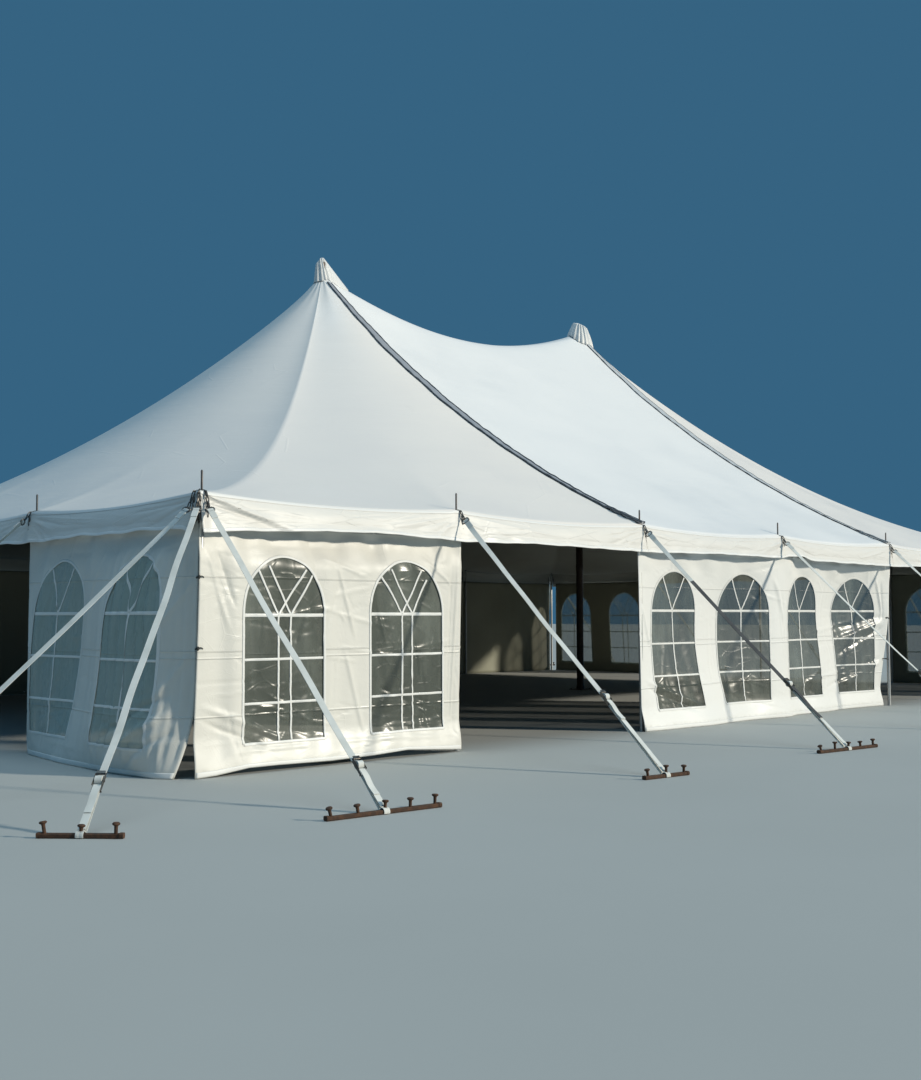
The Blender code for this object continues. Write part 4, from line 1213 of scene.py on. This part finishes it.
def front_middle_shape(a, z):
    low = low_share(z)
    slip = -(0.03 + 0.17 * low) * smooth((a - 2.75) / 0.37)
    slip = slip + (0.04 * low - 0.022) * smooth((-2.75 - a) / 0.37)
    out = wrinkles(a, z, 42, FRONT_MIDDLE, 40, 26) - PUSHED_IN(a, z)
    out = out + ridges(a, z, MIDDLE_PULLS) * smooth((3.05 - a) / 0.2)
    return slip, out + HEM_FLARE * smooth((0.30 - z) / 0.30), 0 * a


LEFT_FRONT = (-6.105, -2.978)
# How far the left front wall is blown out
BLOWN_OUT = field(
    (-6.105, -6.0, -5.9, -5.794, -5.334, -4.874, -4.27, -3.35, -2.978),
    (0.0, 0.22, 0.58, 1.0, 1.39, 1.90, 2.07),
    ((0.20, 0.27, 0.31, 0.31, 0.35, 0.33, 0.30, 0.16, 0),
     (0.10, 0.21, 0.31, 0.385, 0.39, 0.353, 0.25, 0.157, 0),
     (0, 0.09, 0.21, 0.278, 0.31, 0.297, 0.158, 0.176, 0),
     (0, 0.05, 0.13, 0.218, 0.25, 0.24, 0.095, 0.167, 0),
     (0, 0.05, 0.14, 0.21, 0.21, 0.20, 0.07, 0.137, 0),
     (0, 0.01, 0.05, 0.09, 0.094, 0.08, 0.05, 0.04, 0),
     (0, 0, 0.01, 0.02, 0.03, 0.03, 0.02, 0.01, 0)))


def left_front_shape(a, z):
    low = low_share(z)
    near = a - LEFT_FRONT[0]
    slip = 0.03 * low ** 3 * smooth((0.5 - near) / 0.5)
    out = BLOWN_OUT(a, z) + wrinkles(a, z, 52, LEFT_FRONT, 18, 34, 0.008)
    gathered = smooth(near / 0.05) * smooth(z / 0.25) * smooth((2.0 - z) / 0.2)
    out = out + 0.018 * np.sin(2 * np.pi * near / 0.075) * np.exp(-near / 0.22) * gathered
    out = out + 0.016 * np.sin(2 * np.pi * (a + 0.05 * np.sin(3 * z)) / 0.15) * gathered * np.exp(
        -((a + 5.3) / 0.45) ** 2)
    out = out + ridges(a, z, LEFT_PULLS)
    lift = 0.15 * smooth((a + 3.35) / 0.37) ** 2 * np.exp(-z / 0.12)
    return slip, out, lift


# Pull wrinkles of the left front wall: start, end, width, height
LEFT_PULLS = (((-6.05, 0.60), (-5.1, 0.02), 0.035, 0.030), ((-6.05, 0.42), (-5.4, 0.02), 0.03, -0.024),
              ((-6.05, 0.75), (-4.9, 0.20), 0.028, -0.018), ((-6.08, 1.72), (-5.75, 1.2), 0.02, 0.016),
              ((-6.08, 1.10), (-5.78, 0.6), 0.02, 0.016), ((-3.0, 1.95), (-3.3, 0.8), 0.03, 0.02))

SIDE_NEAR, SIDE_FAR = (-5.981, -2.978), (2.978, 5.981)


def pane_wrinkles(level, upright):
    """Folds of a loose window sheet, thicker towards its foot."""
    def folds(a, z, seed):
        box = (-0.45, 0.45, 0.25, 1.85)
        foot = (-0.45, 0.45, 0.25, 0.70)
        return (loose_folds(a, z, seed, level, box, (0.2, 0.9), (-32, 32), 0.014, 0.004)
                + loose_folds(a, z, seed + 1, level, foot, (0.3, 0.8), (-30, 30), 0.013, 0.006)
                + loose_folds(a, z, seed + 2, upright, box, (0.3, 1.1), (66, 114), 0.016, 0.009)
                + 0.006 * waves(a + 0.2 * z, seed, 4, 0.2, 0.7))
    return folds


def plain_windows(bays, style):
    """Windows of the usual size, at bay counts from the middle of a side."""
    return [(BAY * bay, WINDOW_HALF, WINDOW_BOTTOM, WINDOW_TOP, style) for bay in bays]


# Name, side, span, windows, shape, mesh step, seed, folds of the window sheets
WALLS = (
    ("front_left", "front", FRONT_LEFT,
     [(-8.28, 0.437, 0.247, 1.89, "crossed"), (-6.80, 0.470, 0.247, 1.89, "crossed_right")],
     front_left_shape, 0.018, 2, pane_wrinkles(14, 5)),
    ("front_middle", "front", FRONT_MIDDLE, plain_windows((-0.75, -0.25, 0.25, 0.75), "plain"),
     front_middle_shape, 0.022, 3, pane_wrinkles(10, 5)),
    ("front_right", "front", (6.026, 9.118), plain_windows((2.25, 2.75), "plain"),
     plain_shape((6.026, 9.118), 0.02, 31), 0.045, 4, pane_wrinkles(8, 3)),
    ("back", "back", (-9.118, 9.118), [], back_shape, 0.07, 5, None),
    ("left_front", "left", LEFT_FRONT, plain_windows((-1.75, -1.25), "low"),
     left_front_shape, 0.022, 6, pane_wrinkles(8, 16)),
    ("left_back", "left", SIDE_FAR, plain_windows((1.25, 1.75), "plain"),
     plain_shape(SIDE_FAR, 0.12, 71), 0.045, 7, pane_wrinkles(8, 3)),
    ("right_front", "right", SIDE_NEAR, plain_windows((-1.75, -1.25), "plain"),
     plain_shape(SIDE_NEAR, 0.12, 72), 0.045, 8, pane_wrinkles(8, 3)),
    ("right_back", "right", SIDE_FAR, plain_windows((1.25, 1.75), "crossed"),
     plain_shape(SIDE_FAR, 0.12, 73), 0.045, 9, pane_wrinkles(8, 3)),
)

FRONT_LEFT_POLE = (-HALF_LONG, -HALF_WIDE)
FRONT_SEAM_POLE = (PEAK_X, -HALF_WIDE)
# Ties that hold wall edges to a pole: (pole, wall edge, height)
WALL_TIES = ((FRONT_LEFT_POLE, (-9.190, -6.140), 1.695), (FRONT_LEFT_POLE, (-9.195, -6.140), 1.088),
             (FRONT_SEAM_POLE, (2.985, -6.10), 1.32), (FRONT_SEAM_POLE, (2.95, -6.03), 0.70))


def wall_vinyl(name, colour, soiled):
    made = vinyl(name, colour, soiled, (1, 1, 1.6), 0.008)
    dirty_hem(made, 0.09, (0.40, 0.38, 0.28))
    crumple(made, 2.3, 0.008, 0.0007, (1, 1, 1.4), amount=0.7)
    crumple(made, 8.0, 0.006, 0.0006, (1, 1, 1.3), (0.3, 0.2, 0.4), amount=0.5)
    level_creases(made, (0.50, 1.00, 1.06, 1.70), 0.009, 0.007)
    return made


def make_walls():
    cloth = wall_vinyl("wall_cloth_vinyl", (0.76, 0.745, 0.685), (0.70, 0.68, 0.62))
    newer = wall_vinyl("newer_wall_vinyl", (0.85, 0.85, 0.82), (0.79, 0.79, 0.76))
    # The walls' inner faces take painted shade: dark olive, for the tent's shaded inside.
    inside = painted_shade_inner_face("wall_inside_painted_shade", (0.29, 0.29, 0.22))
    # The window sheets are tinted by what lies behind them: the front ones dark, as painted shade of the
    # tent's shaded inside, and the side ones milky, as painted light from the lit inside showing through.
    front_pane_painted_shade = clear_vinyl("front_window_painted_shade_vinyl", (0.14, 0.155, 0.13), (0.34, 0.37, 0.32), 0.62)
    middle_pane_painted_shade = clear_vinyl("middle_window_painted_shade_vinyl", (0.075, 0.08, 0.065), (0.22, 0.24, 0.20), 0.80)
    side_pane_painted_light = clear_vinyl("side_window_painted_light_vinyl", (0.44, 0.53, 0.48), (0.58, 0.64, 0.60), 0.74)
    trim = vinyl("trim_vinyl", (0.82, 0.82, 0.79), (0.76, 0.76, 0.73), (2, 2, 2), 0.002)
    for base, side, *wall in WALLS:
        pane = side_pane_painted_light if side != "front" else front_pane_painted_shade if base == "front_left" else middle_pane_painted_shade
        outer = newer if base == "front_middle" else cloth
        make_wall(base, side, *wall, (outer, inside, pane, trim))
    ties = Shape()
    across, over = circle(24)
    for pole, edge, height in WALL_TIES:
        run = np.array(edge) - pole
        ahead = unit(run)
        loop = (np.array(pole) + run / 2 + np.outer(across * (np.linalg.norm(run) / 2 + 0.012), ahead)
                + np.outer(over * 0.03, (-ahead[1], ahead[0])))
        ties.add_tube(np.column_stack([loop, height + 0.016 * across * over]), 0.005, closed=True)
        ties.add_turned((*edge, height), [(0.006, -0.016), (0.015, -0.006), (0.015, 0.008),
                                          (0.006, 0.018)], 10)
    cord = painted_metal("tie_cord", (0.05, 0.05, 0.045), (0.09, 0.09, 0.08), 0.8, 0.0)
    add_piece("wall_ties", ties, [cord])


# Guys

class Arm:
    """One guy's own directions: out from its pole, aside and up."""

    def __init__(self, spot, turn):
        self.spot = np.array([*spot, 0.0])
        self.out = np.array([math.cos(turn), math.sin(turn), 0.0])
        self.aside = np.array([-math.sin(turn), math.cos(turn), 0.0])

    def at(self, out, aside, up):
        return self.spot + out * self.out + aside * self.aside + (0, 0, up)


def add_link(shape, centre, ahead, flat, length, width, wire):
    """One oval link of a chain. ahead is its long direction and flat its short one."""
    long, short = (np.sign(part) * np.abs(part) ** 0.7 * size / 2
                   for part, size in zip(circle(12), (length, width)))
    shape.add_tube(centre + np.outer(long, ahead) + np.outer(short, flat), wire, 6, closed=True)


def add_chain(shape, path, aside, pitch, wire):
    """Links along a path, each turned a quarter from the one before."""
    ends = spaced(path, pitch, least=3)
    for number, (start, end) in enumerate(zip(ends, ends[1:])):
        ahead = unit(end - start)
        add_link(shape, (start + end) / 2, ahead, np.cross(ahead, aside) if number % 2 else aside,
                 np.linalg.norm(end - start) + 0.012, 0.022, wire)


# Section of the webbing, in shares of its half width and half thickness
WEBBING = ((-1, 1), (-0.93, 1.15), (-0.10, 1.15), (0, 0.85), (0.10, 1.15), (0.93, 1.15), (1, 1),
           (1, -1), (-1, -1))


def add_strap(shape, path, aside, width=STRAP_WIDTH, thickness=STRAP_T, twist=0.0, dark=None):
    """Webbing along a path. aside is its level width direction, which twist turns about the path.
    dark has a 1 for each stretch of the path that takes the second finish, painted dark as painted shade of a
    strap's twisted, shaded side."""
    ahead = unit(np.gradient(path, axis=0))
    face = unit(np.cross(aside, ahead))
    twist = np.broadcast_to(twist, len(path))[:, None]
    across = np.cos(twist) * aside - np.sin(twist) * face
    off = np.cos(twist) * face + np.sin(twist) * aside
    points = np.stack([path + side * width / 2 * across + level * thickness / 2 * off
                       for side, level in WEBBING], axis=1)
    finish = 0 if dark is None else np.append(np.repeat(dark, len(WEBBING)), (0, 0)).astype(int)
    shape.add(points, sleeve_faces(*points.shape[:2]), finish)


def add_arm(straps, fittings, spikes, arm, edge, drop, reach, ratchet_at, stakes, twists, seed, dark):
    """One guy: links, strap, ratchet, lower strap, loop, stake bar and stakes. twists are how far
    the strap is turned at its top and further down."""
    over = edge + LINK_CLEAR
    top = arm.at(over + STRAP_TOP_OUT, 0, EAVE_Z - drop)
    foot = arm.at(reach, 0, BAR_T / 2)
    length = np.linalg.norm(foot - top)
    ahead = unit(foot - top)
    lift = np.cross(ahead, arm.aside)

    def line(far, off=0.0):
        return top + np.multiply.outer(far, ahead) + np.multiply.outer(off, lift)

    chain = [arm.at(0.026, 0, EAVE_Z + EYE_RISE), arm.at(over, 0, EAVE_Z + 0.004),
             arm.at(over + 0.012, 0, EAVE_Z - 0.02), top - 0.012 * ahead]
    add_chain(fittings, chain, arm.aside, *CHAIN)
    hanging = [arm.at(over + 0.016, 0.012, EAVE_Z - low) for low in (0.05, 0.13, 0.22)]
    add_chain(fittings, hanging, arm.aside, *HANGING_CHAIN)
    wide = math.cos(twists[0]) * arm.aside + math.sin(twists[0]) * lift
    add_link(fittings, line(0.014), wide, ahead, 0.074, 0.052, 0.0075)
    ratchet = ratchet_at * length
    spots = np.linspace(0.026, ratchet - 0.05, 40)
    share = spots / length
    path = line(spots) - np.outer(STRAP_SAG * np.sin(np.pi * spots / ratchet), (0, 0, 1))
    path = path + np.outer(0.004 * waves(spots, seed + 5, 3, 0.6, 1.8), arm.aside)
    add_strap(straps, path, arm.aside, twist=twists[1] + (twists[0] - twists[1]) * np.exp(-share / 0.16),
              # Where dark is set, the strap below its top quarter and its loose end take the painted shade
              # finish.
              dark=share[1:] > 0.25 if dark else None)
    add_strap(straps, line(np.linspace(0.006, 0.13, 8), 0.004), arm.aside, STRAP_WIDTH * 1.04,
              STRAP_T * 1.4, twists[0])
    lower = np.linspace(ratchet + 0.07, length - 0.035, 14)
    for off in (-0.005, 0.005):
        add_strap(straps, line(lower, off * np.linspace(1.2, 3.4, 14)), arm.aside)
    tail = 0.88 * length if dark else ratchet + 0.26
    loose = line(np.linspace(ratchet + 0.02, tail, 20), 0.016 + 0.005 * np.sin(np.linspace(0, 7, 20)))
    add_strap(straps, loose, arm.aside, thickness=STRAP_T * 0.8, dark=np.ones(19) if dark else None)
    turns = np.linspace(-0.12 * np.pi, 1.1 * np.pi, 14)
    around = foot + STRAP_LOOP_R * (np.outer(np.cos(turns), arm.out) + np.outer(np.sin(turns), (0, 0, 1)))
    add_strap(straps, around, arm.aside)
    add_ratchet(fittings, straps, line(ratchet), np.array([ahead, arm.aside, lift]))
    add_stakes(spikes, arm, reach, stakes, seed)


# Hook of a ratchet: (distance along the strap, height over it)
RATCHET_HOOK = ((0.07, 0.004), (0.10, 0.012), (0.115, 0.002), (0.10, -0.012))
# Head of a stake: (share of its radius, distance below its top)
STAKE_HEAD = ((1, 0.030), (1.15, 0.020), (2.0, 0.014), (2.2, 0.007), (1.7, 0.001), (0.5, 0))


def add_ratchet(fittings, straps, middle, axes):
    """A ratchet buckle: side plates, a spool wound with webbing, a bar, a folded handle and a hook."""
    def at(far, aside, off):
        return middle + np.array((far, aside, off)) @ axes

    half = STRAP_WIDTH / 2
    for side in (-1, 1):
        fittings.add_box(at(0.0, side * (half + 0.004), 0.006), (0.140, 0.003, 0.022), axes, 0.001)
        fittings.add_box(at(-0.02, side * (half + 0.008), 0.024), (0.100, 0.003, 0.014), axes, 0.001)
        fittings.add_tube([at(far, side * 0.014, off) for far, off in RATCHET_HOOK], 0.004)
    for far, off, radius in ((-0.02, 0.012, 0.012), (0.068, 0.0, 0.005), (-0.07, 0.020, 0.007)):
        fittings.add_tube([at(far, aside, off) for aside in np.linspace(-1, 1, 5) * (half + 0.011)],
                          radius, 12)
    spool = [at(-0.02, aside, 0.012) for aside in np.linspace(-1, 1, 4) * half * 0.96]
    straps.add_tube(spool, SPOOL_R, 16)
    fittings.add_box(at(-0.078, 0, 0.028), (0.022, 0.060, 0.007), axes, 0.003)


def add_stakes(spikes, arm, reach, stakes, seed):
    """The stake bar on the ground, with its end lumps and mushroomed stakes."""
    rng = np.random.default_rng(seed)
    length = STAKE_PITCH * (stakes - 1) + 0.10
    axes = np.array([arm.aside, -arm.out, [0, 0, 1]])
    spikes.add_box(arm.at(reach, 0, BAR_T / 2), (length, BAR_WIDTH, BAR_T), axes, 0.006)
    for side in (-1, 1):
        spikes.add_box(arm.at(reach, side * (length / 2 - 0.012), BAR_T / 2 + 0.002),
                       (0.026, BAR_WIDTH + 0.006, BAR_T + 0.004), axes, 0.008)
    for step in range(stakes):
        aside = STAKE_PITCH * (step - (stakes - 1) / 2)
        top = STAKE_TOP - rng.uniform(0, 0.025)
        lean_out, lean_aside = rng.normal(0, 0.007, 2)
        lean_aside -= 0.020 * (step == 0)
        heights = [0.0] + [top - below for _, below in STAKE_HEAD]
        spikes.add_tube([arm.at(reach + lean_out * up / top, aside + lean_aside * up / top, up)
                         for up in heights], [STAKE_R] + [STAKE_R * wide for wide, _ in STAKE_HEAD], 12)


def make_guys():
    light = webbing("light_webbing", (0.70, 0.71, 0.67), (0.54, 0.55, 0.51))
    # The strap of front_guy_2 is painted dark along most of its length as painted shade: its twisted, shaded
    # side faces the camera.
    dark = webbing("painted_shade_webbing", (0.050, 0.052, 0.055), (0.09, 0.09, 0.09))
    steel = painted_metal("dark_steel", (0.13, 0.13, 0.125), (0.17, 0.12, 0.08), 0.42, 0.85)
    rust = rusty_steel()
    turns = {"front": -math.pi / 2, "back": math.pi / 2, "left": math.pi, "right": 0.0}
    # A guy is its name, pole and arms: (turn, edge, drop, reach, ratchet, stakes, twists)
    guys = []
    for side, turn in turns.items():
        long = side in LONG_SIDES
        for number, spot in enumerate(pole_spots(side)[1:-1] if long else pole_spots(side), 1):
            stakes = 5 if long and abs(abs(spot[0]) - PEAK_X) < 0.1 else 3
            guys.append((f"{side}_guy_{number}", spot,
                         [(turn - (FRONT_LEAN if side == "front" else 0.0), OVERHANG, STRAP_TOP_DROP,
                           GUY_REACH, RATCHET_AT, stakes, (0.9, 0.2) if number < 3 else (0.5, -0.12))]))
    corner = (OVERHANG, CORNER_STRAP_TOP_DROP, CORNER_REACH, CORNER_RATCHET_AT, 5)
    for side in LONG_SIDES:
        for end, mirror in ENDS:
            here = (side, end) == ("front", "left")
            diagonal = math.atan2(math.sin(turns[side]), math.cos(turns[end]))
            arms = [(turns[side] - CORNER_LEAN * here, *corner, (0.3, 0.24)),
                    (turns[end], *corner, (-0.4, -0.4)),
                    (diagonal - DIAGONAL_LEAN * here, OVERHANG * math.sqrt(2), CORNER_STRAP_TOP_DROP,
                     DIAGONAL_REACH, CORNER_RATCHET_AT, 3, (0.0, 0.0))]
            guys.append((f"{side}_{end}_corner_guys", pole_spots(side)[-(mirror > 0)], arms))
    across, over = circle(16)
    for seed, (name, spot, arms) in enumerate(guys):
        straps, fittings, spikes = Shape(), Shape(), Shape()
        for order, (turn, *sizes) in enumerate(arms):
            add_arm(straps, fittings, spikes, Arm(spot, turn), *sizes, seed * 10 + order,
                    name == "front_guy_2")
        eye = np.stack([EYE_R * across, EYE_R * over, np.full(16, EAVE_Z + EYE_RISE)], axis=-1)
        fittings.add_tube(eye + (*spot, 0), 0.006, closed=True)
        add_piece(name + "_webbing", straps, [light, dark], [name])
        add_piece(name + "_fittings", fittings, [steel])
        add_piece(name + "_stakes", spikes, [rust])


make_camera()
make_studio()
make_canopy()
make_valances()
make_flaps()
make_caps()
make_poles()
make_walls()
make_guys()
